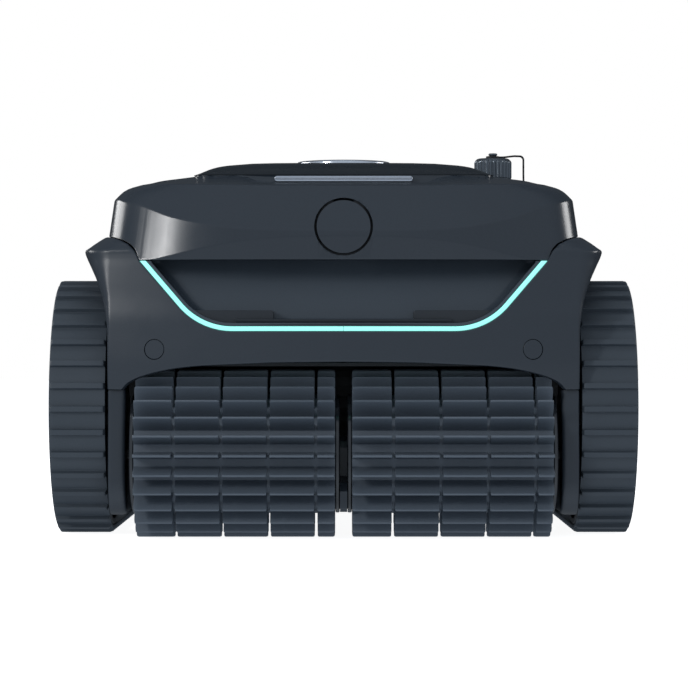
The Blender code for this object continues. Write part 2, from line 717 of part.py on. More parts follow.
def make_brush_bracket():
    """The bearing between the two brush halves, held from below by an arm from the tub."""
    half = BRUSH_INNER_X - GAP
    arm = [
        (-91.6 * MM, 24 * MM),
        (-91.6 * MM, 44 * MM),
        (-120 * MM, 44 * MM),
        (-148 * MM, 66 * MM),
    ]
    arm += arc(BRUSH_Y, BRUSH_Z, 13 * MM, 20, 160, 6)
    arm += [(-176 * MM, 46 * MM), (-196 * MM, 42 * MM), (-204 * MM, 36 * MM), (-204 * MM, 24 * MM)]
    arm += [(-200 * MM, 21 * MM), (-120 * MM, 21 * MM)]
    eye = circle(BRUSH_Y, BRUSH_Z, BRUSH_SHAFT_RADIUS + GAP, 16)
    return prism("brush_bracket", "X", arm, -half, half, SHELL, holes=[eye])


def make_rear_bumper():
    outline = rounded(-140 * MM, 140 * MM, 52 * MM, 84 * MM, 12 * MM, 4)
    made = prism("rear_bumper", "Y", outline, 200.3 * MM, 224 * MM, TREAD)
    relief = rounded(-130 * MM, 130 * MM, 60 * MM, 76 * MM, 6 * MM, 3)
    cut(made, prism("relief", "Y", relief, 221 * MM, 230 * MM, None))
    return made


# ---------------------------------------------------------------- tracks and wheels


def belt_point(along, radius):
    """A point of the loop, by distance along its neutral line from the very front, upwards."""
    neutral = TRACK_RADIUS - CLEAT_HEIGHT - BELT_THICKNESS / 2
    quarter = neutral * math.pi / 2
    run = REAR_AXLE_Y - FRONT_AXLE_Y
    along %= 4 * quarter + 2 * run
    if along < quarter:
        y, z, turn = FRONT_AXLE_Y, AXLE_Z, math.pi - along / neutral
    elif along < quarter + run:
        y, z, turn = FRONT_AXLE_Y + along - quarter, AXLE_Z, math.pi / 2
    elif along < 3 * quarter + run:
        y, z, turn = REAR_AXLE_Y, AXLE_Z, math.pi / 2 - (along - quarter - run) / neutral
    elif along < 3 * quarter + 2 * run:
        y, z, turn = REAR_AXLE_Y - (along - 3 * quarter - run), AXLE_Z, -math.pi / 2
    else:
        y, z, turn = FRONT_AXLE_Y, AXLE_Z, -math.pi / 2 - (along - 3 * quarter - 2 * run) / neutral
    return y + radius * math.cos(turn), z + radius * math.sin(turn)


def make_belt(name, side):
    neutral = TRACK_RADIUS - CLEAT_HEIGHT - BELT_THICKNESS / 2
    pitch = (2 * math.pi * neutral + 2 * (REAR_AXLE_Y - FRONT_AXLE_Y)) / CLEAT_COUNT
    root, tip = CLEAT_TIP / 2 + 0.9 * MM, CLEAT_TIP / 2
    low = TRACK_RADIUS - CLEAT_HEIGHT
    outline = []
    for i in range(CLEAT_COUNT):
        middle = i * pitch
        for shift, radius in ((-root, low), (-tip, TRACK_RADIUS), (tip, TRACK_RADIUS), (root, low)):
            outline.append(belt_point(middle + shift, radius))
    inner = stadium(low - BELT_THICKNESS, 20)
    limits = span(side, TRACK_INNER_X, TRACK_OUTER_X)
    return prism("tread_belt_" + name, "X", outline, *limits, TREAD, holes=[inner])


def make_wheel(position, name, side):
    """A rim, a web and a hub. The rear wheel's hub carries the motor's output shaft."""
    y = FRONT_AXLE_Y if position == "front" else REAR_AXLE_Y
    rim = TRACK_RADIUS - CLEAT_HEIGHT - BELT_THICKNESS - WHEEL_CLEARANCE
    low, high, web = 173 * MM, 212.5 * MM, 190 * MM
    profile = [
        (rim, low),
        (rim, high),
        (rim - 4 * MM, high),
        (rim - 4 * MM, web + 4 * MM),
        (16 * MM, web + 4 * MM),
        (16 * MM, 208 * MM),
    ]
    if position == "front":
        bore = AXLE_RADIUS + GAP
        profile += [(bore, 208 * MM), (bore, 172.6 * MM), (11 * MM, 172.6 * MM)]
    else:
        profile += [(0, 208 * MM), (0, 147 * MM), (6 * MM, 147 * MM), (6 * MM, 172.6 * MM)]
        profile.append((11 * MM, 172.6 * MM))
    profile += [(14 * MM, 174 * MM), (14 * MM, web), (rim - 4 * MM, web), (rim - 4 * MM, low)]
    turned(f"wheel_{position}_{name}", "X", (0, y, AXLE_Z), on_side(side, profile), DARK, 20)
    cap = [
        (0, HUB_CAP_X),
        (60 * MM, HUB_CAP_X - 0.8 * MM),
        (rim - 4.3 * MM, 213.4 * MM),
        (rim - 4.3 * MM, 209 * MM),
        (0, 213 * MM),
    ]
    turned(f"hub_cap_{position}_{name}", "X", (0, y, AXLE_Z), on_side(side, cap), GLOSS, 20)


def gear_outline(centre, teeth, phase):
    """Straight-sided teeth with running clearance: (y, z) points."""
    radius = GEAR_MODULE * teeth / 2
    root, tip = radius - 1.1 * GEAR_MODULE, radius + 0.8 * GEAR_MODULE
    pitch = 2 * math.pi / teeth
    points = []
    for i in range(teeth):
        for shift, r in ((-0.29, root), (-0.11, tip), (0.11, tip), (0.29, root)):
            turn = phase + (i + shift) * pitch
            points.append((centre[0] + r * math.cos(turn), centre[1] + r * math.sin(turn)))
    return points


def meshed_phase(centre, teeth, phase, other, other_teeth):
    """The phase that puts the other gear's gap where this gear's tooth is."""
    line = math.atan2(other[1] - centre[1], other[0] - centre[0])
    share = (phase - line) * teeth / (2 * math.pi) + 0.5
    return line + math.pi - share * 2 * math.pi / other_teeth


def make_gear_train(name, side):
    wheel = (FRONT_AXLE_Y, AXLE_Z)
    idler = tuple(idler_centre())
    brush = (BRUSH_Y, BRUSH_Z)
    limits = span(side, GEAR_ROOM_X + GAP, GEAR_OUTER_X)
    idler_phase = meshed_phase(wheel, WHEEL_TEETH, 0, idler, IDLER_TEETH)
    brush_phase = meshed_phase(idler, IDLER_TEETH, idler_phase, brush, BRUSH_TEETH)

    gear = gear_outline(wheel, WHEEL_TEETH, 0)
    bore = circle(*wheel, AXLE_RADIUS + GAP, 16)
    made = prism("wheel_gear_" + name, "X", gear, *limits, NYLON, holes=[bore], pivot=(0, *wheel))
    inner = AXLE_RADIUS + GAP
    sleeve = [(inner, 166 * MM), (9 * MM, 166 * MM), (9 * MM, 172.3 * MM), (inner, 172.3 * MM)]
    unite(made, turned("sleeve", "X", (0, *wheel), on_side(side, sleeve), None, 16))

    gear = gear_outline(idler, IDLER_TEETH, idler_phase)
    bore = circle(*idler, 3.3 * MM, 12)
    prism("idler_gear_" + name, "X", gear, *limits, NYLON, holes=[bore], pivot=(0, *idler))

    gear = gear_outline(brush, BRUSH_TEETH, brush_phase)
    made = prism("brush_gear_" + name, "X", gear, *limits, NYLON, pivot=(0, *brush))
    shaft = [(0, GAP), (BRUSH_SHAFT_RADIUS, GAP), (BRUSH_SHAFT_RADIUS, 166 * MM), (0, 166 * MM)]
    unite(made, turned("shaft", "X", (0, *brush), on_side(side, shaft), None, 14))


# ---------------------------------------------------------------- brush


def make_brush(name, side):
    bore = BRUSH_SHAFT_RADIUS + GAP
    low, high = BRUSH_INNER_X, BRUSH_OUTER_X
    core = [
        (bore, low),
        (BRUSH_DISC_RADIUS, low),
        (BRUSH_DISC_RADIUS, low + BRUSH_DISC),
        (BRUSH_CORE_RADIUS - 2 * GAP, low + BRUSH_DISC),
        (BRUSH_CORE_RADIUS - 2 * GAP, high - BRUSH_DISC),
        (BRUSH_DISC_RADIUS, high - BRUSH_DISC),
        (BRUSH_DISC_RADIUS, high),
        (36 * MM, high),
        (36 * MM, low + 4 * MM),
        (9 * MM, low + 4 * MM),
        (9 * MM, high - 2 * MM),
        (bore, high - 2 * MM),
    ]
    turned("brush_core_" + name, "X", (0, BRUSH_Y, BRUSH_Z), on_side(side, core), GLOSS, 20)
    root_radius = 44 * MM
    root, tip = 1.7 * MM, VANE_TIP / 2
    section = ((-root, root_radius), (-tip, BRUSH_RADIUS), (tip, BRUSH_RADIUS), (root, root_radius))
    points = []
    for i in range(VANE_COUNT):
        for half, radius in section:
            turn = math.pi + i * 2 * math.pi / VANE_COUNT + half / radius
            points.append((BRUSH_Y + radius * math.cos(turn), BRUSH_Z + radius * math.sin(turn)))
    limits = span(side, low + BRUSH_DISC + GAP, high - BRUSH_DISC - GAP)
    bore_outline = circle(BRUSH_Y, BRUSH_Z, BRUSH_CORE_RADIUS, 27)
    centre = (0, BRUSH_Y, BRUSH_Z)
    prism("brush_sleeve_" + name, "X", points, *limits, VANES, holes=[bore_outline], pivot=centre)


# ---------------------------------------------------------------- works


def make_outlet():
    """The raised ring on the deck that the pumped water leaves by, with its duct below."""
    centre = (0, OUTLET_Y, 0)
    housing = [
        (33.3 * MM, 205 * MM),
        (36.5 * MM, 205 * MM),
        (36.5 * MM, DECK_TOP + GAP),
        (48 * MM, DECK_TOP + GAP),
        (42 * MM, 284 * MM),
        (33.3 * MM, 284 * MM),
    ]
    turned("outlet_housing", "Z", centre, housing, SHELL, 32)
    ring = [(31 * MM, 284.3 * MM), (38 * MM, 284.3 * MM), (38 * MM, 287.7 * MM)]
    ring += [(36.5 * MM, 289.2 * MM), (31 * MM, 287.5 * MM)]
    turned("outlet_ring", "Z", centre, ring, SILVER, 32)
    holes = []
    for i in range(8):
        start = i * 45 + 6
        outer_arc = arc(0, OUTLET_Y, 29 * MM, start, start + 33, 3)
        holes.append(outer_arc + arc(0, OUTLET_Y, 9 * MM, start + 28, start + 5, 2))
    outline = circle(0, OUTLET_Y, 33 * MM, 32)
    prism("outlet_grille", "Z", outline, 280.5 * MM, 283 * MM, DARK, holes=holes)


def make_pump():
    centre = (0, OUTLET_Y, 0)
    motor = [(0, 112.3 * MM), (21 * MM, 112.3 * MM), (21 * MM, 222 * MM), (8 * MM, 228 * MM)]
    motor += [(3 * MM, 228 * MM), (3 * MM, 250 * MM), (0, 250 * MM)]
    turned("pump_motor", "Z", centre, motor, DARK, 24)
    hub = [(3.3 * MM, 230 * MM), (9 * MM, 230 * MM), (9 * MM, 246 * MM)]
    hub += [(6 * MM, 252 * MM), (3.3 * MM, 252 * MM)]
    made = turned("propeller", "Z", centre, hub, DARK, 16)
    made.data.transform(Matrix.Translation(Vector(centre)))
    made.location = (0, 0, 0)
    for i in range(4):
        turn = Matrix.Rotation(i * math.pi / 2, 4, "Z")
        rows = []
        for radius in (7 * MM, 19 * MM, 31.5 * MM):
            pitch = math.radians(32) * (7 * MM / radius + 0.5)
            rise, reach = 9 * MM * math.sin(pitch), 9 * MM * math.cos(pitch)
            section = [(-reach, -rise - MM), (reach, rise - MM), (reach, rise + MM), (-reach, -rise + MM)]
            points = [turn @ Vector((radius, u, 239 * MM + v)) for u, v in section]
            rows.append([point + Vector(centre) for point in points])
        unite(made, capped_loft("blade", rows, None))
    made.data.transform(Matrix.Translation(-Vector(centre)))
    made.location = centre


def make_filter():
    """The basket under the lid, with inlet flaps in its floor and a fine screen inside it."""
    low, high = (-112 * MM, -84 * MM, 42 * MM), (112 * MM, 4 * MM, 238 * MM)
    made = box("filter_basket", low, high, DARK)
    wall = 2 * MM
    inside_high = (high[0] - wall, high[1] - wall, high[2] + wall)
    cut(made, box("inside", tuple(v + wall for v in low), inside_high, None))
    for x0, x1 in ((-104 * MM, -38 * MM), (-33 * MM, 33 * MM), (38 * MM, 104 * MM)):
        cut(made, box("window", (x0, -95 * MM, 64 * MM), (x1, 15 * MM, 226 * MM), None))
    cut(made, box("window", (-120 * MM, -76 * MM, 64 * MM), (120 * MM, -6 * MM, 226 * MM), None))
    for _, side in SIDES:
        x0, x1 = span(side, 6 * MM, 104 * MM)
        cut(made, box("inlet", (x0, -78 * MM, 35 * MM), (x1, -54 * MM, 50 * MM), None))
    rim = GAP + wall
    outer = rectangle(low[0] + rim, high[0] - rim, low[1] + rim, high[1] - rim)
    thin = rim + 0.7 * MM
    inner = rectangle(low[0] + thin, high[0] - thin, low[1] + thin, high[1] - thin)
    prism("filter_screen", "Z", outer, 60 * MM, 230 * MM, SCREEN, holes=[inner])
    for name, side in SIDES:
        x0, x1 = span(side, 4 * MM, 106 * MM)
        pivot = (0, -51 * MM, 45.2 * MM)
        box("intake_flap_" + name, (x0, -80 * MM, 44.4 * MM), (x1, -51 * MM, 46 * MM), SEAL, pivot)


def make_electrics():
    box("control_box", (-62 * MM, 18 * MM, 25.4 * MM), (62 * MM, 92 * MM, 112 * MM), DARK)
    box("battery_pack", (-62 * MM, 104 * MM, 25.4 * MM), (62 * MM, 188 * MM, 180 * MM), CELL)
    for name, side in SIDES:
        body = [(0, 70 * MM), (20 * MM, 70 * MM), (20 * MM, 157.3 * MM)]
        body += [(6.3 * MM, 157.3 * MM), (6.3 * MM, 146.5 * MM), (0, 146.5 * MM)]
        turned("drive_motor_" + name, "X", (0, REAR_AXLE_Y, AXLE_Z), on_side(side, body), DARK, 24)
    axle = circle(FRONT_AXLE_Y, AXLE_Z, AXLE_RADIUS, 16)
    prism("front_axle", "X", axle, -207 * MM, 207 * MM, STEEL, smooth=40)


def make_charging_port():
    centre = (PORT_X, PORT_Y, 0)
    base = DECK_TOP + GAP
    port = [
        (0, 246 * MM),
        (10 * MM, 246 * MM),
        (10 * MM, base),
        (14 * MM, base),
        (14 * MM, base + 3 * MM),
        (9.5 * MM, base + 3 * MM),
        (9.5 * MM, base + 10 * MM),
        (7.5 * MM, base + 10 * MM),
        (7.5 * MM, 262 * MM),
        (0, 262 * MM),
    ]
    turned("charge_port", "Z", centre, port, GLOSS, 20)
    skirt, top = 14.85 * MM, 289.8 * MM
    cap = [
        (0, top),
        (13 * MM, top),
        (skirt, top - 2 * MM),
        (skirt, base + 3.3 * MM),
        (10 * MM, base + 3.3 * MM),
        (10 * MM, base + 11 * MM),
        (0, base + 11 * MM),
    ]
    stud = [(0, 294 * MM), (3.5 * MM, 294 * MM), (3.5 * MM, 292.2 * MM)]
    cap[0:1] = stud + [(2.3 * MM, 292.2 * MM), (2.3 * MM, top)]
    turned("port_cap", "Z", centre, cap, GLOSS, 28)
    ring = circle(PORT_X, PORT_Y, 5.5 * MM, 16)
    hole = circle(PORT_X, PORT_Y, 2.6 * MM, 12)
    strap = prism("cap_tether", "Z", ring, 290.2 * MM, 291.7 * MM, SEAL, holes=[hole])
    out = PORT_X + 25 * MM
    run = [
        (PORT_X + 4.5 * MM, 290.2 * MM),
        (out - 3 * MM, 291.2 * MM),
        (out - 1.4 * MM, 289.6 * MM),
        (out - 1.4 * MM, base),
        (out, base),
        (out, 290.4 * MM),
        (out - 2.6 * MM, 292.7 * MM),
        (PORT_X + 4.5 * MM, 291.7 * MM),
    ]
    unite(strap, prism("run", "Y", run, PORT_Y - 2.5 * MM, PORT_Y + 2.5 * MM, None))


# ---------------------------------------------------------------- the whole machine


def clear_scene():
    for old in list(bpy.data.objects):
        bpy.data.objects.remove(old, do_unlink=True)


def main():
    clear_scene()
    make_lower_shell()
    add_lid_seat(make_upper_shell())
    make_grip_recess()
    make_light_strip()
    make_lid_pieces()
    make_latch()
    make_chassis_tub()
    make_bottom_plate()
    make_brush_bracket()
    make_rear_bumper()
    make_outlet()
    make_pump()
    make_filter()
    make_electrics()
    make_charging_port()
    for name, side in SIDES:
        make_screw_cover(name, side)
        make_side_plate(name, side)
        make_gear_cover(name, side)
        make_gear_train(name, side)
        make_brush(name, side)
        make_belt(name, side)
        for position in ("front", "rear"):
            make_wheel(position, name, side)


main()
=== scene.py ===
"""Looks of the tracked pool cleaner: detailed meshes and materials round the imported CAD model.

Sizes in this file are millimetres until a mesh is made. The front faces -Y and +Z is up.
"""

import math

import bmesh
import bpy
import numpy as np
from mathutils import Matrix, Vector


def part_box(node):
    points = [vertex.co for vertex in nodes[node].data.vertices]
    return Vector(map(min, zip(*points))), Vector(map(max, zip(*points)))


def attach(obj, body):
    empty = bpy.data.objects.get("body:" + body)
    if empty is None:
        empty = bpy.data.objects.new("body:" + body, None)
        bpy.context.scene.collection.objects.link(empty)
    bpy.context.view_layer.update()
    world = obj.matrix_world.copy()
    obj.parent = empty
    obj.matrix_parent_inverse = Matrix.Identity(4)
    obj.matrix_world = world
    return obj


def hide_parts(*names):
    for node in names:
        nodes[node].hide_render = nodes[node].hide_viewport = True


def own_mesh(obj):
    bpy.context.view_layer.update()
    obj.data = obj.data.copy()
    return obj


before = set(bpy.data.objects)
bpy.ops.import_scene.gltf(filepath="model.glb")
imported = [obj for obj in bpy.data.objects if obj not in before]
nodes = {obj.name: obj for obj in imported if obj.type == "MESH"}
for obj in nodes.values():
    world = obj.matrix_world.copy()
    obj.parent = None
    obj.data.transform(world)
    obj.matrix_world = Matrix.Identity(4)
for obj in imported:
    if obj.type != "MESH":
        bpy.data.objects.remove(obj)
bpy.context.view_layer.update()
MM = 0.001
SIDES = (("left", -1), ("right", 1))  # as seen from the front

# places that several pieces share
FRONT_AXLE, REAR_AXLE, AXLE_Z = -97.5, 117.5, 95
BRUSH_Y, BRUSH_Z = -162.5, 62
BUTTON_Z = 227
HINGE_Y, HINGE_Z, HINGE_BORE = 3, 273.5, 2.3
OUTLET_Y = 55
PORT_X, PORT_Y = 119, 18

# ---------------- camera

CAMERA_Y, CAMERA_Z = -2281.5, 142.2
LENS, SENSOR, SHIFT = 150.96, 36.0, 0.0006

camera_data = bpy.data.cameras.new("camera")
camera_data.lens = LENS
camera_data.sensor_width = SENSOR
camera_data.shift_x = SHIFT
camera = bpy.data.objects.new("camera", camera_data)
camera.location = (0, CAMERA_Y * MM, CAMERA_Z * MM)
camera.rotation_euler = (math.pi / 2, 0, 0)
bpy.context.scene.collection.objects.link(camera)
bpy.context.scene.camera = camera

# ---------------- materials


def srgb(red, green, blue):
    """Linear colour of an 8-bit display colour."""
    values = [v / 255 for v in (red, green, blue)]
    return tuple(v / 12.92 if v <= 0.04045 else ((v + 0.055) / 1.055) ** 2.4 for v in values)


def add_node(tree, kind, values=None, **settings):
    """A shader node with its settings and then its unlinked inputs filled in."""
    made = tree.nodes.new("ShaderNode" + kind)
    for name, value in settings.items():
        setattr(made, name, value)
    for name, value in (values or {}).items():
        made.inputs[name].default_value = value
    return made


def tinted(colour, share):
    return (*[min(1, c * share) for c in colour], 1)


SPECKLE, SPECKLE_DARK, SPECKLE_LIGHT = 0.35, 0.85, 1.1
WEAR = 0.12  # how far the roughness drifts either way
COAT_ROUGHNESS = 0.08


def surface(
    name,
    colour,
    roughness,
    grain=1800,
    relief=0.02,
    blotch=9,
    variation=0.06,
    metallic=0.0,
    coat=0.0,
    specular=0.5,
):
    """Plastic, rubber or metal: fine grain in the relief, slow drift in colour and in roughness."""
    made = bpy.data.materials.new(name)
    made.use_nodes = True
    tree = made.node_tree
    link = tree.links.new
    shader = tree.nodes["Principled BSDF"]
    shader.inputs["Metallic"].default_value = metallic
    shader.inputs["Coat Weight"].default_value = coat
    shader.inputs["Coat Roughness"].default_value = COAT_ROUGHNESS
    shader.inputs["Specular IOR Level"].default_value = specular
    where = add_node(tree, "TexCoord").outputs["Object"]

    def noise(scale, detail, rough=0.5):
        found = add_node(tree, "TexNoise", {"Scale": scale, "Detail": detail, "Roughness": rough})
        link(where, found.inputs["Vector"])
        return found.outputs["Fac"]

    ends = {"A": tinted(colour, 1 - variation), "B": tinted(colour, 1 + variation)}
    drift = add_node(tree, "Mix", ends, data_type="RGBA")
    link(noise(blotch, 3), drift.inputs["Factor"])
    speckle = add_node(tree, "Mix", {"Factor": SPECKLE}, data_type="RGBA", blend_type="MULTIPLY")
    link(drift.outputs["Result"], speckle.inputs["A"])
    limits = {"From Min": 0.35, "From Max": 0.65, "To Min": SPECKLE_DARK, "To Max": SPECKLE_LIGHT}
    shade = add_node(tree, "MapRange", limits)
    fine = noise(grain, 2)
    link(fine, shade.inputs["Value"])
    link(shade.outputs["Result"], speckle.inputs["B"])
    link(speckle.outputs["Result"], shader.inputs["Base Color"])

    low, high = max(0.02, roughness * (1 - WEAR)), min(1, roughness * (1 + WEAR))
    wear = add_node(tree, "MapRange", {"From Min": 0.3, "From Max": 0.7, "To Min": low, "To Max": high})
    link(noise(blotch * 4, 4, 0.6), wear.inputs["Value"])
    link(wear.outputs["Result"], shader.inputs["Roughness"])

    bump = add_node(tree, "Bump", {"Strength": 1.0, "Distance": relief * MM})
    link(fine, bump.inputs["Height"])
    link(bump.outputs["Normal"], shader.inputs["Normal"])
    return made


def glowing(name, colour, strength):
    """A diffuser bar lit from inside, a little brighter along some stretches."""
    made = surface(name, colour, 0.3, grain=900, relief=0.004, variation=0.03)
    tree = made.node_tree
    shader = tree.nodes["Principled BSDF"]
    stretch = add_node(tree, "TexNoise", {"Scale": 14})
    tree.links.new(add_node(tree, "TexCoord").outputs["Object"], stretch.inputs["Vector"])
    tint = add_node(tree, "Mix", {"A": tinted(colour, 0.94), "B": tinted(colour, 1.05)}, data_type="RGBA")
    tree.links.new(stretch.outputs["Fac"], tint.inputs["Factor"])
    tree.links.new(tint.outputs["Result"], shader.inputs["Emission Color"])
    shader.inputs["Emission Strength"].default_value = strength
    return made


SHELL = surface("hull_plastic", srgb(48, 55, 63), 0.32, grain=1100, relief=0.0015, variation=0.03)
FASCIA = surface("fascia_plastic", srgb(46, 53, 61), 0.22, grain=1100, relief=0.001, variation=0.03)
# The recess's plastic is painted lighter than the hull's, to cancel the shade that the upper lip casts into it:
# painted light.
TRAY_PAINTED_LIGHT = surface("tray_plastic_painted_light", srgb(64, 73, 82), 0.42, grain=1100, relief=0.003, variation=0.04)
# The lip and blocks at the foot of the recess are painted darker than the recess, for the shade they stand in:
# painted shade.
LEDGE_PAINTED_SHADE = surface("ledge_painted_shade", srgb(38, 43, 49), 0.38, grain=1100, relief=0.003, variation=0.04)
LID = surface("lid_plastic", srgb(36, 41, 46), 0.28, grain=1100, relief=0.0005, variation=0.03, specular=0.2)
TREAD = surface("tread_rubber", srgb(60, 68, 76), 0.55, grain=1400, relief=0.05, variation=0.08)
# The brush's rubber is painted much lighter than the tread's, standing in for light from below on its shaded vanes:
# painted light.
VANES_PAINTED_LIGHT = surface("brush_rubber", srgb(92, 101, 111), 0.48, grain=1200, relief=0.03, variation=0.06)
DARK = surface("dark_plastic", srgb(38, 41, 45), 0.45, relief=0.02, variation=0.08)
GLOSS = surface("gloss_plastic", srgb(40, 44, 49), 0.16, relief=0.003, variation=0.05, coat=0.4)
SILVER = surface("silver_trim", srgb(222, 228, 238), 0.22, grain=2600, relief=0.003, metallic=0.9)
CAP = surface("cap_metal", srgb(96, 103, 110), 0.2, relief=0.006, metallic=0.7, variation=0.08)
STEEL = surface("steel", srgb(190, 190, 188), 0.3, relief=0.004, metallic=1.0)
NYLON = surface("nylon", srgb(200, 200, 190), 0.45, relief=0.015)
SEAL = surface("seal_rubber", srgb(24, 24, 26), 0.65, relief=0.02)
CELL = surface("battery_wrap", srgb(30, 80, 125), 0.35, relief=0.008)
SCREEN = surface("filter_screen", srgb(120, 126, 130), 0.6, grain=700, relief=0.15)
HUB = surface("hub_gloss", srgb(60, 64, 70), 0.14, relief=0.003, variation=0.05, coat=0.5)
LIGHT = glowing("light_bar", srgb(150, 238, 226), 0.82)

# ---------------- mesh tools


def placed(axis, u, v, w):
    """A point whose section coordinates are u and v and whose distance along the axis is w."""
    return {"X": (w, u, v), "Y": (u, w, v), "Z": (u, v, w)}[axis]


def fill(rows, at, column=1):
    """Smooth reading of a table of rows, in rising order of their first value."""
    if at <= rows[0][0]:
        return rows[0][column]
    if at >= rows[-1][0]:
        return rows[-1][column]
    index = max(i for i in range(len(rows) - 1) if rows[i][0] <= at)
    x0, x1 = rows[index][0], rows[index + 1][0]
    y0, y1 = rows[index][column], rows[index + 1][column]

    chord = (y1 - y0) / (x1 - x0)

    def slope(i):
        if i <= 0 or i >= len(rows) - 1:
            return chord
        low = (rows[i][column] - rows[i - 1][column]) / (rows[i][0] - rows[i - 1][0])
        high = (rows[i + 1][column] - rows[i][column]) / (rows[i + 1][0] - rows[i][0])
        return 0.0 if low * high <= 0 else 2 * low * high / (low + high)

    t = (at - x0) / (x1 - x0)
    return (
        (2 * t**3 - 3 * t**2 + 1) * y0
        + (t**3 - 2 * t**2 + t) * (x1 - x0) * slope(index)
        + (-2 * t**3 + 3 * t**2) * y1
        + (t**3 - t**2) * (x1 - x0) * slope(index + 1)
    )


def linear(rows, at):
    """Straight-line reading of a table of pairs."""
    return float(np.interp(at, [row[0] for row in rows], [row[1] for row in rows]))


def ease(share):
    """A soft step from 0 to 1."""
    share = min(1, max(0, share))
    return share * share * (3 - 2 * share)


def grid(rows, closed=False, ends=False):
    """A bmesh from rings of points: closed joins the last ring to the first, ends fills both."""
    bm = bmesh.new()
    made = [[bm.verts.new(Vector(p) * MM) for p in row] for row in rows]
    pairs = list(zip(made, made[1:]))
    if closed:
        pairs.append((made[-1], made[0]))
    for row, following in pairs:
        for i in range(len(row)):
            j = (i + 1) % len(row)
            bm.faces.new((row[i], row[j], following[j], following[i]))
    if ends:
        bm.faces.new(made[0])
        bm.faces.new(made[-1])
    return bm


def lathe(axis, centre, profile, segments=64):
    """A closed profile of (radius, distance) corners, turned round an axis through the centre."""
    rows = []
    for i in range(segments):
        turn = 2 * math.pi * i / segments
        c, s = math.cos(turn), math.sin(turn)
        rows.append([Vector(centre) + Vector(placed(axis, r * c, r * s, h)) for r, h in profile])
    return grid(rows, closed=True)


def prism(axis, outline, low, high):
    """A flat outline drawn out along an axis."""
    bm = bmesh.new()
    corners = [bm.verts.new(Vector(placed(axis, u, v, low)) * MM) for u, v in outline]
    edges = [bm.edges.new((a, b)) for a, b in zip(corners, corners[1:] + corners[:1])]
    bmesh.ops.contextual_create(bm, geom=edges)
    drawn = bmesh.ops.extrude_face_region(bm, geom=bm.faces[:])
    shift = Vector(placed(axis, 0, 0, high - low)) * MM
    moved = [item for item in drawn["geom"] if isinstance(item, bmesh.types.BMVert)]
    bmesh.ops.translate(bm, verts=moved, vec=shift)
    return bm


def joined(base, part):
    """Two bmeshes as one."""
    mesh = bpy.data.meshes.new("part")
    part.to_mesh(mesh)
    part.free()
    base.from_mesh(mesh)
    bpy.data.meshes.remove(mesh)
    return base


def raw(bm, name="cutter"):
    """A bare object from a bmesh, used as a cutter or before cuts are made."""
    bmesh.ops.remove_doubles(bm, verts=bm.verts, dist=2e-6)
    bmesh.ops.recalc_face_normals(bm, faces=bm.faces)
    mesh = bpy.data.meshes.new(name)
    bm.to_mesh(mesh)
    bm.free()
    made = bpy.data.objects.new(name, mesh)
    bpy.context.scene.collection.objects.link(made)
    return made


def combine(base, part, operation):
    """Applies a Boolean of a bmesh or an object to the base, and uses the part up."""
    other = part if isinstance(part, bpy.types.Object) else raw(part)
    modifier = base.modifiers.new("cut", "BOOLEAN")
    modifier.operation = operation
    modifier.solver = "EXACT"
    modifier.object = other
    bpy.context.view_layer.update()
    result = bpy.data.meshes.new_from_object(base.evaluated_get(bpy.context.evaluated_depsgraph_get()))
    base.modifiers.remove(modifier)
    base.data = result
    bpy.data.objects.remove(other)


def cut(base, part):
    combine(base, part, "DIFFERENCE")


def unite(base, part):
    combine(base, part, "UNION")


def edge_bevel(thing, width, steps, angle):
    """A small rounding of every edge that is sharper than an angle in degrees."""
    modifier = thing.modifiers.new("edges", "BEVEL")
    modifier.width = width * MM
    modifier.segments = steps
    modifier.limit_method = "ANGLE"
    modifier.angle_limit = math.radians(angle)
    modifier.use_clamp_overlap = True


def finish_piece(thing, node, mat, body, bevel=0.0, steps=2, angle=30, sharp=40, keep=False, new=False):
    """Names a mesh, shades it, rounds its edges, and makes it ride on its body in the CAD node's place.

    keep weights the normals by face area also where there is no bevel, and new is for a piece without a CAD node.
    """
    made = thing if isinstance(thing, bpy.types.Object) else raw(thing)
    made.name = node if new else f"{node}_visual"
    made.data.name = made.name
    bm = bmesh.new()
    bm.from_mesh(made.data)
    for face in bm.faces:
        face.smooth = True
    if not bevel:
        for edge in bm.edges:
            if edge.is_manifold and edge.calc_face_angle(0) > math.radians(sharp):
                edge.smooth = False
    bm.to_mesh(made.data)
    bm.free()
    made.data.materials.clear()
    made.data.materials.append(mat)
    if bevel:
        edge_bevel(made, bevel, steps, angle)
    if bevel or keep:
        weighted = made.modifiers.new("normals", "WEIGHTED_NORMAL")
        weighted.keep_sharp = True
        weighted.weight = 50
    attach(made, body)
    if not new:
        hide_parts(node)
    return made


def arc(u, v, radius, start, end, count):
    """Points of an arc, with its start and end in degrees."""
    angles = [math.radians(start + (end - start) * i / count) for i in range(count + 1)]
    return [(u + radius * math.cos(t), v + radius * math.sin(t)) for t in angles]


def circle(u, v, radius, count=48):
    return arc(u, v, radius, 0, 360 - 360 / count, count - 1)


def rounded(u0, u1, v0, v1, radius, count=8):
    """A rectangle with rounded corners."""
    return (
        arc(u1 - radius, v1 - radius, radius, 0, 90, count)
        + arc(u0 + radius, v1 - radius, radius, 90, 180, count)
        + arc(u0 + radius, v0 + radius, radius, 180, 270, count)
        + arc(u1 - radius, v0 + radius, radius, 270, 360, count)
    )


def span(side, low, high):
    """Limits along X of what lies between two distances from the middle, on one side."""
    return (low, high) if side > 0 else (-high, -low)


def on_side(side, profile):
    """A lathe profile for one side of the machine."""
    return [(r, side * h) for r, h in profile]


# ---------------- hull surface

# the joint between the two shells, above the mouth, and the light strip's line
SEAM_Z, SEAM_GAP = 202.4, 0.5
STRIP_WIDTH, STRIP_LOW_Z, STRIP_BEND = 3.3, 153.2, 50.0
STRIP_SLOPE, STRIP_TOP_X = math.radians(49), 145.4

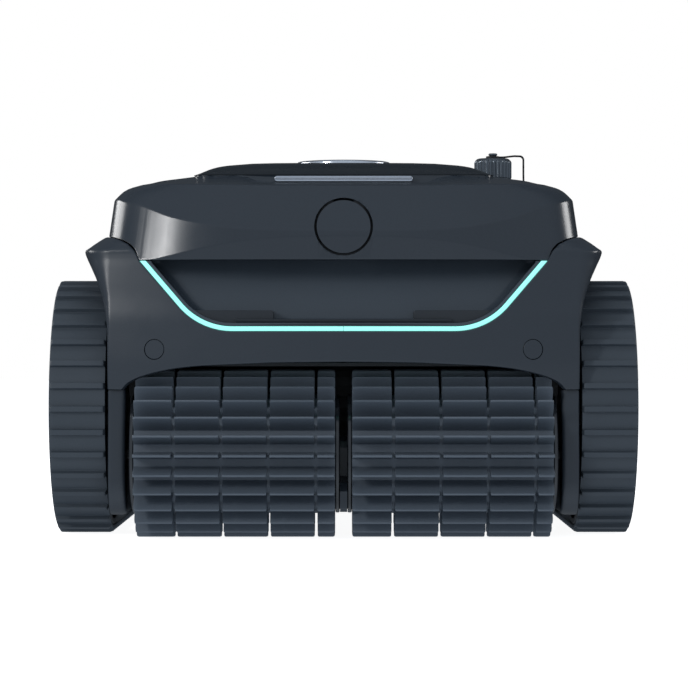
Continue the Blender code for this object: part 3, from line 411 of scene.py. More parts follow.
# height, half width, front, sag of the front, corner radius, rear
LOWER = [
    (109, 171, 213, 20, 1.6, 208),
    (131, 171, 216, 20, 1.8, 212),
    (150, 171, 215.5, 20, 2.4, 213.5),
    (160, 172, 215, 20, 4, 214),
    (174, 174.6, 213, 21, 7, 214),
    (188, 179.6, 211, 22, 12, 213),
    (198, 184.4, 209.5, 23, 18, 211),
    (205.5, 188.2, 208.4, 24, 23, 209.5),
    (208.6, 189.3, 208, 24, 24, 209),
    (210.2, 189.5, 208, 24, 25, 208.5),
    (211.2, 188.3, 207.6, 24, 26, 208),
    (213.4, 185.6, 206.4, 25, 28, 207.5),
    (215.8, 182.6, 205.1, 25, 30, 206.5),
    (218.2, 179.2, 204, 25, 32, 206),
    (221, 175.0, 203, 25, 34, 205),
]
UPPER = [
    (203, 175.0, 205.2, 25, 34, 205),
    (212, 175.0, 206.8, 25, 34, 205),
    (220.5, 174.5, 208.0, 25, 34, 204),
    (224.2, 174.2, 207.2, 25, 34, 203),
    (236, 172.4, 199.9, 25, 35, 198),
    (247, 170.2, 193, 24, 36, 191),
    (257.6, 154, 186, 20, 38, 176),
    (260, 150, 184, 20, 40, 172),
]
# distance from the middle, height: the arch over the brush, the joint beside the mouth and two creases
ARCH = [
    (0, 129.3), (50, 128.7), (68, 127.9), (104, 126.2), (122, 124.2), (137, 121.1), (146.5, 118.3),
    (152, 116.1), (156, 113.8), (158.5, 111.4), (160, 109.6), (160.6, 109.0),
]
SEAM = [(148.6, 203.0), (151.6, 209.4), (157, 214.8), (164.2, 218.1), (170, 219.8), (174.4, 220.7)]
LOW_CREASE = [
    (0, 220.2), (34, 219.5), (58, 218.1), (70, 216.8), (85, 214.6), (104, 210.8), (116, 207.9), (125, 205.8),
    (137, 203.6), (147, 202.9),
]
HIGH_CREASE = [
    (0, 224.2), (40, 224.3), (70, 225.0), (89, 226.8), (105, 229.7), (120, 233.2), (127, 235.2), (138, 239.6),
    (148, 243.3), (161, 246.4), (168, 248.2),
]
REAR_RADIUS, REAR_SAG = 46.0, 10.0
LOWER_BOW, UPPER_BOW = 2, 4  # powers of the front's curve in plan

# columns of the hull's surface, from the front's middle round one side: (kind, share of that stretch)
front_share = np.concatenate([np.linspace(0, 0.84, 36), np.linspace(0.84, 1, 28)[1:]])
COLUMNS = [("front", t) for t in front_share]
COLUMNS += [("corner", t) for t in np.linspace(0, 1, 13)[1:]]
COLUMNS += [("side", t) for t in np.linspace(0, 1, 34)[1:]]
COLUMNS += [("rear_corner", t) for t in np.linspace(0, 1, 12)[1:]]
COLUMNS += [("rear", t) for t in np.linspace(1, 0, 26)[1:]]
MIRRORED = len(COLUMNS) - 2


def corner(width, depth, sag, radius, power=LOWER_BOW):
    """Tangent point, centre and slope of a corner's fillet, for a front at +depth."""
    tangent = width - radius
    slope = 0.0
    for _ in range(8):
        slope = math.atan(power * sag * tangent ** (power - 1) / width**power)
        tangent = width - radius * (1 - math.sin(slope))
    deep = depth - sag * (tangent / width) ** power
    return tangent, tangent - radius * math.sin(slope), deep - radius * math.cos(slope), slope


def plan_point(column, size):
    """A point of the hull's outline: size is (half width, front, sag, corner radius, rear, bow)."""
    width, front, sag, radius, rear, bow = size
    kind, t = column
    if kind == "front":
        x = corner(width, front, sag, radius, bow)[0] * t
        return x, -(front - sag * (x / width) ** bow)
    if kind == "rear":
        x = corner(width, rear, REAR_SAG, REAR_RADIUS)[0] * t
        return x, rear - REAR_SAG * (x / width) ** 2
    if kind == "corner":
        _, cx, cy, slope = corner(width, front, sag, radius, bow)
        angle = (math.pi / 2 - slope) * (1 - t)
        return cx + radius * math.cos(angle), -(cy + radius * math.sin(angle))
    if kind == "rear_corner":
        _, cx, cy, slope = corner(width, rear, REAR_SAG, REAR_RADIUS)
        angle = (math.pi / 2 - slope) * t
        return cx + REAR_RADIUS * math.cos(angle), cy + REAR_RADIUS * math.sin(angle)
    start = -corner(width, front, sag, radius, bow)[2]
    end = corner(width, rear, REAR_SAG, REAR_RADIUS)[2]
    return width, start + t * (end - start)


def sizes(table, z, inset=0.0):
    """A plan_point size read from a shell's table at a height."""
    width, front, sag, radius, rear = (fill(table, z, c) for c in range(1, 6))
    bow = UPPER_BOW if table is UPPER else LOWER_BOW
    return width - inset, front - inset, sag, max(0.5, radius - inset), rear - inset, bow


def hull_point(table, column, z, inset=0.0):
    x, y = plan_point(column, sizes(table, z, inset))
    return x, y, z


def whole_ring(half):
    """A half outline, from the front's middle round +X to the rear's middle, with its mirror image."""
    return half + [(-x, y, z) for x, y, z in half[MIRRORED:0:-1]]


def front_depth(table, x, z):
    """Y of the hull's front at a distance from the middle that is short of the corner."""
    width, front, sag, _, _, bow = sizes(table, z)
    return -(front - sag * (x / width) ** bow)


def strip_line(offset=0.0, bend_steps=26, straight_steps=22):
    """One half of the light strip's line, from the middle outwards: (x, z) points."""
    rise = STRIP_BEND * (1 - math.cos(STRIP_SLOPE))
    straight = (SEAM_Z - STRIP_LOW_Z - rise) / math.tan(STRIP_SLOPE)
    bend_x = STRIP_TOP_X - straight - STRIP_BEND * math.sin(STRIP_SLOPE)
    turn = math.degrees(STRIP_SLOPE)
    points = [(x, STRIP_LOW_Z - offset) for x in np.linspace(0.12, bend_x, 12)[:-1]]
    points += arc(bend_x, STRIP_LOW_Z + STRIP_BEND, STRIP_BEND + offset, -90, -90 + turn, bend_steps)
    last = points[-1]
    end = (STRIP_TOP_X + offset / math.sin(STRIP_SLOPE), SEAM_Z)
    points += [
        (last[0] + (end[0] - last[0]) * k / straight_steps, last[1] + (end[1] - last[1]) * k / straight_steps)
        for k in range(1, straight_steps + 1)
    ]
    return points


OUTER_EDGE = strip_line(STRIP_WIDTH / 2 + 0.25)
OUTER_EDGE[0] = (0, OUTER_EDGE[0][1])
FAR, HALVINGS = 1000, 26


def lower_top(x):
    """Upper edge of the lower shell: along the strip, then along the joint with the upper shell."""
    if x <= OUTER_EDGE[-1][0]:
        return linear(OUTER_EDGE, x)
    return linear([OUTER_EDGE[-1]] + SEAM[1:], x)


def solve_height(column, limit, low, high, table):
    """Where a column of the hull meets a boundary whose height depends on the distance from the middle.

    Beyond the front corner it is the height at the boundary's outer end.
    """
    if column[0] not in ("front", "corner"):
        return limit(FAR)
    for _ in range(HALVINGS):
        middle = (low + high) / 2
        x = hull_point(table, column, middle)[0]
        if middle < limit(x):
            low = middle
        else:
            high = middle
    return (low + high) / 2


def rounded_edge(edge, radius, upwards, steps=3):
    """(inset, height) pairs of a rounded edge, from the flat face to the outside face."""
    pairs = []
    for k in range(steps + 1):
        turn = math.pi / 2 * k / steps
        inset = radius * (1 - math.sin(turn))
        rise = radius * (1 - math.cos(turn))
        pairs.append((inset, edge + rise if upwards else edge - rise))
    return pairs


WHEEL_WELL, WELL_X, INSIDE_X = 98, 171.3, 168.4


def make_lower_shell():
    """The hull below the joint: sides with wheel wells, the arch over the brush and the mouth."""
    wall, edge = 2.5, 1.1
    shares = np.concatenate([np.linspace(0, 0.7, 15), np.linspace(0.7, 1, 27)[1:]])
    columns = []
    for column in COLUMNS:
        low = solve_height(column, lambda x: fill(ARCH, x), 100, 140, LOWER)
        high = solve_height(column, lower_top, 140, 221, LOWER)
        path = [(wall, low)] + rounded_edge(low, edge, True)
        path += [(0, low + edge + s * (high - low - 2 * edge)) for s in shares[1:-1]]
        path += rounded_edge(high, edge, False)[::-1] + [(wall, high)]
        path += [(wall, low + s * (high - low)) for s in np.linspace(1, 0, 12)[1:-1]]
        points = []
        for inset, z in path:
            x, y, _ = hull_point(LOWER, column, z, inset)
            points.append((min(x, INSIDE_X) if inset == wall else x, y, z))
        columns.append(points)
    rows = [whole_ring(list(row)) for row in zip(*columns)]
    made = raw(grid(rows, closed=True), "lower_shell_visual")
    well = arc(REAR_AXLE, AXLE_Z, WHEEL_WELL, -90, 90, 60) + arc(FRONT_AXLE, AXLE_Z, WHEEL_WELL, 90, 270, 60)
    for _, side in SIDES:
        cut(made, prism("X", well, *span(side, WELL_X, 260)))
        cut(made, screw_cover(side, 7.5, 12, -12))
    finish_piece(made, "lower_shell", SHELL, "hull", keep=True)


# ---------------- small round pieces

COVER_X, COVER_Z = 136.5, 138.3


def screw_cover(side, radius, depth, start=0.0, edge=0.0):
    """A short round plug square to the hull's face."""
    profile = [(0, start), (radius - edge, start), (radius, start + edge), (radius, depth), (0, depth)]
    bm = lathe("Y", (0, 0, 0), profile, 56)
    width, _, sag = sizes(LOWER, COVER_Z)[:3]
    tilt = math.atan(2 * sag * COVER_X / width**2)
    bm.transform(Matrix.Rotation(side * tilt, 4, "Z"))
    place = Vector((side * COVER_X, front_depth(LOWER, COVER_X, COVER_Z), COVER_Z))
    bm.transform(Matrix.Translation(place * MM))
    return bm


def soften(points, reaches, steps=3):
    """A line of points with each inner corner rounded; every corner gives the same number of points."""
    found = [Vector(points[0])]
    for i in range(1, len(points) - 1):
        at, before, after = Vector(points[i]), Vector(points[i - 1]), Vector(points[i + 1])
        first = min(reaches[i], (before - at).length * 0.45)
        second = min(reaches[i], (after - at).length * 0.45)
        start = at + (before - at).normalized() * first if first else at
        end = at + (after - at).normalized() * second if second else at
        for k in range(steps + 1):
            t = k / steps
            found.append(start * (1 - t) ** 2 + at * 2 * t * (1 - t) + end * t**2)
    return found + [Vector(points[-1])]


def seam_low(x):
    """Lower edge of the upper shell."""
    if x < SEAM[0][0]:
        return SEAM_Z + SEAM_GAP
    return fill(SEAM, x) + SEAM_GAP


TOP_CREASE_Z = 257.6
CREASE_ANGLE = 48  # edges flatter than this are the face's own creases and get no bevel


def top_crease(x):
    """Height of the crease between the front face and the deck."""
    return TOP_CREASE_Z + 2.2 * min(1, x / 150) ** 2


def crease_heights(column):
    """Heights of the seam and of the three creases above it, along one column."""
    seam = solve_height(column, seam_low, 195, 225, UPPER)
    low = solve_height(
        column, lambda x: fill(LOW_CREASE, x) if x < LOW_CREASE[-1][0] else seam_low(x), 195, 230, UPPER
    )
    low = max(low, seam + 0.35)
    high = solve_height(column, lambda x: fill(HIGH_CREASE, x), 215, 255, UPPER)
    high = max(high, low + 1.5)
    top = solve_height(column, top_crease, 250, 262, UPPER)
    return seam, low, high, top


# the swell of the shoulder above the high crease: its height, and where it starts and is full
SHOULDER, SHOULDER_START, SHOULDER_RUN = 3.2, 118, 45
# the dip in front of the lid fades from this distance from the middle inwards
DIP_END, DIP_RUN = 78, 20
# height, half width, front, sag, corner radius, rear, dip in the middle of the front
DECK_ROWS = [
    (261.8, 146, 168, 20, 40, 170, 1.2),
    (264.6, 139, 151, 17, 40, 160, 3.1),
    (266.7, 125, 140, 12, 38, 148, 4.8),
    (268, 113, 134.5, 4, 30, 135, 6.0),
]
FACET_FOOT = 203.0


def facet_share(column, x):
    """How far the middle facet runs straight down behind the lower shell's lip, 0 to 1."""
    kind, t = column
    if kind == "front":
        return 1.0 if x > LOW_CREASE[-1][0] else 0.0
    if kind == "corner":
        return 1.0
    return ease(1 - t / 0.5) if kind == "side" else 0.0


def upper_profile(column, inset=0.0, drop=0.0):
    """The upper shell's corners along one column, from the joint over the creases to the lid."""
    seam, low, high, top = crease_heights(column)
    points = [hull_point(UPPER, column, z, inset) for z in (seam, low, high)]
    straight = facet_share(column, points[1][0])
    if straight:
        foot, crest = Vector(hull_point(UPPER, column, FACET_FOOT, inset)), Vector(points[2])
        for i in (0, 1):
            flat = foot.lerp(crest, (points[i][2] - foot.z) / (crest.z - foot.z))
            points[i] = tuple(Vector(points[i]).lerp(flat, straight))
    x, y, z = hull_point(UPPER, column, top, inset)
    under, top_point = Vector(points[-1]), Vector((x, y, z - drop))
    swell = SHOULDER * min(1, max(0, (abs(under.x) - SHOULDER_START) / SHOULDER_RUN)) ** 1.5
    outwards = Vector((x, y - 60 if y > 0 else y + 60, 0)).normalized()
    middle = under.lerp(top_point, 0.5) + (outwards + Vector((0, 0, 1))).normalized() * swell
    points += [tuple(middle), tuple(top_point)]
    for height, width, front, sag, radius, rear, dip in DECK_ROWS:
        x, y = plan_point(column, (width - inset, front - inset, sag, radius, rear - inset, 2))
        share = ease((DIP_END - x) / DIP_RUN) if column[0] == "front" else 0
        points.append((x, y, height - drop - dip * share))
    return points


def make_upper_shell():
    """The hull above the joint: front face with its creases, shoulders, deck and the lid's mouth."""
    wall = 3.0
    reaches = [0, 0.4, 0.9, 1.0, 1.2, 9.0, 1.4] + [5.0] * len(DECK_ROWS)
    outer, inner = [], []
    for column in COLUMNS:
        inside = upper_profile(column, wall, wall)
        inside = [inside[0]] + inside[2:]
        start = Vector(inside[0]) + Vector((0, 0, 4))
        outer.append(soften([start, inside[0]] + upper_profile(column), reaches))
        inner.append([Vector(p) for p in inside[1:]][::-1])
    rows = [whole_ring([tuple(p) for p in row]) for row in zip(*inner)]
    rows += [whole_ring([tuple(p) for p in row]) for row in zip(*outer)]
    made = raw(grid(rows, ends=True), "upper_shell_visual")
    unite(made, prism("Z", rounded(-111.4, 111.4, -132.6, -2.2, 11, 10), 258, 268))
    cut(made, prism("Z", rounded(-100, 100, -124, -14, 4, 5), 250, 275))
    for u, v, radius in ((0, OUTLET_Y, 37), (PORT_X, PORT_Y, 10.5)):
        cut(made, prism("Z", circle(u, v, radius, 72), 255, 275))
    cut(made, prism("Y", circle(0, BUTTON_Z, 21.15, 96), -230, -180))
    for _, side in SIDES:
        low, high = span(side, 80.6, 86)
        lug = [(-1, 266), (7, 266), *arc(HINGE_Y, HINGE_Z, 4, 0, 180, 18)]
        unite(made, prism("X", lug, low, high))
        cut(made, prism("X", circle(HINGE_Y, HINGE_Z, HINGE_BORE, 24), low - 1, high + 1))
    finish_piece(made, "upper_shell", FASCIA, "hull", bevel=0.3, angle=CREASE_ANGLE)


# ---------------- button and hand recess


def facet_block(half, back):
    """The middle of the upper shell's face as a solid block."""
    rows = []
    for x in np.linspace(-half, half, 41):
        side = abs(x)
        line = []
        for z in (196, SEAM_Z, fill(LOW_CREASE, side), fill(HIGH_CREASE, side), TOP_CREASE_Z):
            line.append((x, front_depth(UPPER, side, z), z))
        line = soften(line, [0, 0, 1.0, 1.2, 0])
        rows.append([tuple(p) for p in line] + [(x, back, TOP_CREASE_Z), (x, back, 196)])
    return grid(rows, ends=True)


def make_button():
    """A push button whose face carries on the creases of the shell round it, on its bar and spring."""
    skin = 2.4
    made = raw(facet_block(24, -180), "latch_button_visual")
    combine(made, prism("Y", circle(0, BUTTON_Z, 19.35, 120), -215, -190.5), "INTERSECT")
    hollow = raw(facet_block(24, -180))
    hollow.data.transform(Matrix.Translation((0, skin * MM, 0)))
    combine(hollow, prism("Y", circle(0, BUTTON_Z, 17.4, 96), -215, -183), "INTERSECT")
    cut(made, hollow)
    finish_piece(made, "latch_button", FASCIA, "latch", bevel=0.55, steps=3, angle=CREASE_ANGLE)

    bar = [(-199.2, 233), (-193.2, 242), (-160, 245), (-102.5, 245), (-102.5, 251.5), (-106.3, 251.5)]
    bar += [(-106.3, 254), (-99, 254), (-99, 241), (-160, 241), (-187, 233)]
    finish_piece(prism("X", bar, -6, 6), "latch_bar", DARK, "latch", bevel=0.5)

    wire, radius, turns, start, end = 0.55, 4.7, 6, -198.2, -184.5
    per_turn, sides = 24, 10
    rows = []
    for i in range(turns * per_turn + 1):
        turn = 2 * math.pi * i / per_turn
        y = start + (end - start) * i / (turns * per_turn)
        centre = Vector((radius * math.cos(turn), y, BUTTON_Z + radius * math.sin(turn)))
        out = Vector((math.cos(turn), 0, math.sin(turn)))
        ring = []
        for k in range(sides):
            around = 2 * math.pi * k / sides
            ring.append(centre + out * wire * math.cos(around) + Vector((0, wire * math.sin(around), 0)))
        rows.append(ring)
    spring = finish_piece(grid(rows, ends=True), "latch_spring", STEEL, "hull", sharp=50)
    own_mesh(spring)


def outline_both(offset):
    """The strip's whole line from the left end to the right end."""
    half = strip_line(offset)
    return [(-x, z) for x, z in reversed(half)] + half


def make_tray():
    """The hand recess: rounded walls and a back that leans away, then its lip with a block at each end."""
    border = -STRIP_WIDTH / 2 - 0.3
    wall, bend = 2.2, 5

    def ring(offset, in_front, low, high):
        points = []
        for x, z in outline_both(offset):
            share = max(0, (z - STRIP_LOW_Z) / (SEAM_Z - STRIP_LOW_Z))
            y = front_depth(LOWER, abs(x), z) if in_front else front_depth(LOWER, 0, z)
            raised = 2.4 if z == SEAM_Z and not in_front else 0
            points.append((x, y + low + share * (high - low), z + raised))
        return points

    outside = [ring(border, True, 0.6, 0.6), ring(border, True, 6, 6), ring(border, False, 24, 38)]
    inside = [ring(border - wall, True, -8, -8), ring(border - wall, True, 4, 4)]
    for k in range(6):
        turn = math.pi / 2 * k / 5
        inset = wall + bend * (1 - math.cos(turn))
        back = bend * (1 - math.sin(turn))
        inside.append(ring(border - inset, False, 20 - back, 34 - back))
    for points in inside:
        for index in (0, -1):
            x, y, z = points[index]
            points[index] = (x, y, z + 12)
    made = raw(grid(outside, ends=True), "grip_recess_visual")
    cut(made, grid(inside, ends=True))
    finish_piece(made, "grip_recess", TRAY_PAINTED_LIGHT, "hull", bevel=0.45)

    lip = []
    section = [(5.2, 155.7), (4.2, 159.6), (4.6, 160.1), (9, 160.1), (9, 155.7)]
    for x in np.linspace(-78, 78, 27):
        y = front_depth(LOWER, abs(x), 158)
        lip.append([(x, y + behind, z) for behind, z in section])
    ledge = raw(grid(lip, ends=True), "recess_ledge")
    for _, side in SIDES:
        block = [(50.5, 157), (92, 157), (102, 160), (109, 166.5), *arc(52.5, 164.5, 2, 90, 180, 6)]
        unite(ledge, prism("Y", [(side * x, z) for x, z in block], -204, -184))
    finish_piece(ledge, "recess_ledge", LEDGE_PAINTED_SHADE, "hull", bevel=0.8, steps=3, new=True)


def make_light_strip():
    """Two halves that meet in the middle, each with a softly rounded face along the mouth's edge."""
    half = STRIP_WIDTH / 2
    section = [(-1, 1.0), (-0.93, 0.42), (-0.7, 0.1), (0, 0.0), (0.7, 0.1), (0.93, 0.42), (1, 1.0)]
    section += [(1, 4), (-1, 4)]
    bars = []
    for side in (-1, 1):
        lines = []
        for offset, depth in section:
            line = strip_line(offset * half)
            lines.append([(side * x, front_depth(LOWER, x, z) + depth + 0.1, min(z, SEAM_Z)) for x, z in line])
        bars.append(grid([list(p) for p in zip(*lines)], ends=True))
    finish_piece(joined(*bars), "light_strip", LIGHT, "hull", keep=True)


# ---------------- lid

# distance from the middle, height; and distance in from the edge, share of the height
LID_CROWN = [(0, 278.7), (40, 278.6), (62, 278.3), (80, 277.2), (94, 275.4), (104, 272.6), (112, 269.2)]
LID_RISE = [(0, 0), (0.4, 0.1), (2, 0.34), (5, 0.6), (9, 0.81), (14, 0.92), (22, 0.975), (34, 0.995), (50, 1)]
LID_FOOT, LID_WALL = 268.3, 2.4


def make_lid():
    """A hollow, crowned lid with two hinge arms behind."""

    def ring(inset, inward=0.0):
        radius = max(3, 12 - inset * 0.2)
        outline = rounded(-112 + inset, 112 - inset, -133 + inset, -3 - inset * 0.6, radius, 8)
        dense = []
        for a, b in zip(outline, outline[1:] + outline[:1]):
            pieces = 10 if (Vector(a) - Vector(b)).length > 20 else 1
            dense += [tuple(Vector(a).lerp(Vector(b), k / pieces)) for k in range(pieces)]
        points = []
        for x, y in dense:
            rise = fill(LID_CROWN, abs(x)) - LID_FOOT
            points.append((x, y, LID_FOOT + rise * fill(LID_RISE, inset - inward) - inward))
        return points

    insets = [0, 0.4, 1.2, 2.5, 4, 6, 8, 11, 14, 18, 24, 32, 44]
    outer = [ring(inset) for inset in insets]
    inner = [[(x, y, max(LID_FOOT, z)) for x, y, z in ring(inset + LID_WALL, LID_WALL)] for inset in insets[::-1]]
    made = raw(grid(inner + outer, ends=True), "lid_visual")
    for _, side in SIDES:
        low, high = span(side, 70, 80)
        arm = [(-9, 269.3), (HINGE_Y, 269.3), (HINGE_Y, 274), (-9, 277)]
        unite(made, prism("X", arm, low, high))
        unite(made, prism("X", circle(HINGE_Y, HINGE_Z, 4.5, 32), low, high))
        cut(made, prism("X", circle(HINGE_Y, HINGE_Z, HINGE_BORE, 24), low - 1, high + 1))
    finish_piece(made, "lid", LID, "lid_body", keep=True, sharp=32)


def make_grip():
    """The pill-shaped pull in front of the lid: a rim with a raised bar along its upper half."""

    half, low, high = 51.5, 262.9, 267.3

    def ring(inset, y, lift=0.0):
        radius = min(max(0.4, 2.18 - inset), 2.1)
        outline = rounded(-half + inset, half - inset, low + inset + lift, high - inset, radius, 8)
        return [(x, y, z) for x, z in outline]

    rows = [ring(0, -133.6), ring(0, -137.2), ring(0.18, -137.8), ring(0.4, -138.0), ring(0.55, -137.9, 0.5)]
    rows += [ring(0.6, -138.5, 0.6), ring(0.75, -138.9, 0.6), ring(0.95, -139.0, 0.6)]
    finish_piece(grid(rows, ends=True), "lid_grip", SILVER, "lid_body", keep=True)


# ---------------- side plates and bumper

PLATE_FRONT, PLATE_REAR, PLATE_LOW, PLATE_HIGH = -190, 196, 17, 108.7
PLATE_CORNER = 26
# distance from the middle, inset of the outline there
PLATE_EDGE = [(161, 0.6), (161.2, 0.2), (161.6, 0), (163.6, 0)]
PLATE_EDGE += [(169.6, 0), (170.3, 0.25), (170.8, 0.75), (171, 1.4)]
FLANGE_EDGE = [(158.3, 2.6), (158.5, 1.7), (159.1, 0.9), (160.1, 0.3), (161.6, 0), (163.2, 0)]


def plate_outline(inset):
    front, rear = PLATE_FRONT + inset, PLATE_REAR - inset
    low, high = PLATE_LOW + inset, PLATE_HIGH - inset
    radius = PLATE_CORNER - inset
    points = arc(front + radius, low + radius, radius, 180, 270, 16)
    points += arc(rear - radius, low + radius, radius, 270, 360, 16)
    return points + [(rear, high), (front, high)]


def make_side_plate(name, side):
    """The pillar beside the brush and the plate behind the wheels, with room for the drive gears."""
    rings = []
    for x, inset in PLATE_EDGE:
        rings.append([(side * x, y, z) for y, z in plate_outline(inset)])
    made = raw(grid(rings, ends=True), "side_plate")
    rings = []
    centre = (PLATE_FRONT + PLATE_CORNER, PLATE_LOW + PLATE_CORNER)
    for x, inset in FLANGE_EDGE:
        outline = arc(*centre, PLATE_CORNER - inset, 180, 261, 16)
        outline += [(-168, PLATE_HIGH), (PLATE_FRONT + inset, PLATE_HIGH)]
        rings.append([(side * x, y, z) for y, z in outline])
    unite(made, grid(rings, ends=True))
    room = span(side, 163.5, 180)
    cut(made, prism("X", plate_outline(3), *room))
    ear = arc(FRONT_AXLE, AXLE_Z, 35, 10, 170, 40)
    unite(made, prism("X", ear, *span(side, 161, 167.7)))
    cut(made, prism("X", circle(FRONT_AXLE, AXLE_Z, 32.5, 72), *room))
    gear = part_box(f"idler_gear_{name}")
    idler = [(gear[0][i] + gear[1][i]) / 2 / MM for i in (1, 2)]
    unite(made, prism("X", circle(*idler, 3, 32), *span(side, 162.5, 167.4)))
    through = span(side, 150, 180)
    for y, z, radius in ((FRONT_AXLE, AXLE_Z, 5.3), (BRUSH_Y, BRUSH_Z, 4.3), (REAR_AXLE, AXLE_Z, 7)):
        cut(made, prism("X", circle(y, z, radius, 40), *through))
    finish_piece(made, f"side_plate_{name}", SHELL, "hull", sharp=35, keep=True)


def make_bumper():
    """A rubber bumper with three ribs in a shallow panel."""
    made = raw(prism("Y", rounded(-140, 140, 52, 84, 12, 14), 200.3, 224), "rear_bumper")
    cut(made, prism("Y", rounded(-130, 130, 60, 76, 6, 10), 221, 230))
    for z in (64, 68, 72):
        unite(made, prism("Y", rounded(-126, 126, z - 1, z + 1, 1, 6), 220.5, 223.2))
    finish_piece(made, "rear_bumper", TREAD, "hull", bevel=0.8, steps=3)


# ---------------- tracks and wheels

FLOOR_RADIUS, BAR_RADIUS, BELT_IN = 91.8, 95.0, 89.5
NEUTRAL = FLOOR_RADIUS - 1.15
RUN = REAR_AXLE - FRONT_AXLE
LOOP = 2 * math.pi * NEUTRAL + 2 * RUN
BARS = 61


def belt_point(along, radius):
    """Where a distance along the belt's loop lies, from the front end upwards, at a radius from the axles."""
    quarter = NEUTRAL * math.pi / 2
    along %= LOOP
    if along < quarter:
        y, turn = FRONT_AXLE, math.pi - along / NEUTRAL
    elif along < quarter + RUN:
        y, turn = FRONT_AXLE + along - quarter, math.pi / 2
    elif along < 3 * quarter + RUN:
        y, turn = REAR_AXLE, math.pi / 2 - (along - quarter - RUN) / NEUTRAL
    elif along < 3 * quarter + 2 * RUN:
        y, turn = REAR_AXLE - (along - 3 * quarter - RUN), -math.pi / 2
    else:
        y, turn = FRONT_AXLE, -math.pi / 2 - (along - 3 * quarter - 2 * RUN) / NEUTRAL
    return y + radius * math.cos(turn), AXLE_Z + radius * math.sin(turn)


def make_belt(name, side):
    """Closed loop with a rounded bar across it at every pitch."""
    pitch = LOOP / BARS
    steps = [(-5.6, 0), (-2.8, 0), (-2.4, 0.08), (-2.15, 0.5), (-2.0, 0.88), (-1.7, 1.0), (0, 1.0)]
    steps += [(1.7, 1.0), (2.0, 0.88), (2.15, 0.5), (2.4, 0.08), (2.8, 0), (5.6, 0)]
    near, far = 173.2, 214.0
    across = [(near, 0), (173.35, 0.04), (173.8, 0.5), (174.5, 0.85), (175.8, 1.0), (193, 1.0)]
    across += [(211.6, 1.0), (212.6, 0.9), (213.3, 0.55), (213.75, 0.08), (far, 0)]
    back = [(far, BELT_IN + 0.3), (far - 0.3, BELT_IN), (near + 0.3, BELT_IN), (near, BELT_IN + 0.3)]
    rows = []
    for i in range(BARS):
        for shift, lift in steps:
            ring = []
            for x, share in across:
                edge = 0.35 if x in (near, far) else 0.0
                radius = FLOOR_RADIUS - edge + (BAR_RADIUS - FLOOR_RADIUS) * lift * share
                ring.append((side * x, *belt_point(i * pitch + shift, radius)))
            for x, radius in back:
                ring.append((side * x, *belt_point(i * pitch + shift, radius)))
            rows.append(ring)
    finish_piece(grid(rows, closed=True), f"tread_belt_{name}", TREAD, "hull", sharp=30, keep=True)


def make_wheel(position, name, side):
    """A wheel and its hub cap; a front wheel turns on the axle and a rear one on its own shaft."""
    y = FRONT_AXLE if position == "front" else REAR_AXLE
    rim, bore, shaft = 88.5, 5.3, 6
    profile = [(rim - 0.5, 173), (rim, 173.5), (rim, 212), (rim - 0.5, 212.5), (rim - 3.6, 212.5)]
    profile += [(rim - 4, 212.1), (rim - 4.4, 195), (rim - 5.6, 194)]
    profile += [(17.5, 194), (16, 195.5), (16, 207.6), (15.6, 208)]
    if position == "front":
        profile += [(bore, 208), (bore, 172.6), (11, 172.6)]
    else:
        profile += [(0, 208), (0, 147), (shaft, 147), (shaft, 172.6), (11, 172.6)]
    profile += [(14, 174), (14, 189), (15, 190), (rim - 5, 190), (rim - 4, 189), (rim - 4, 173.4), (rim - 3.6, 173)]
    body = f"{position}_wheel_{name}"
    bm = lathe("X", (0, y, AXLE_Z), on_side(side, profile), 128)
    finish_piece(bm, f"wheel_{position}_{name}", DARK, body, sharp=30, keep=True)
    top = rim - 4.3
    cap = [(0, 217.4), (20, 217.35), (40, 217.1), (60, 216.6), (61, 216.0), (62.2, 215.9), (63.4, 216.3)]
    cap += [(72, 215.4), (79, 214.3), (top - 1.0, 213.4), (top, 212.6), (top, 209), (0, 213)]
    bm = lathe("X", (0, y, AXLE_Z), on_side(side, cap), 128)
    finish_piece(bm, f"hub_cap_{position}_{name}", HUB, body, sharp=35, keep=True)


# ---------------- brush

# the slots across the vanes of each half, by side: distances from the middle
SLOTS = {-1: (20.0, 54.2, 88.3, 122.4), 1: (35.9, 70.1, 104.2, 138.3)}
VANE_COUNT = 27


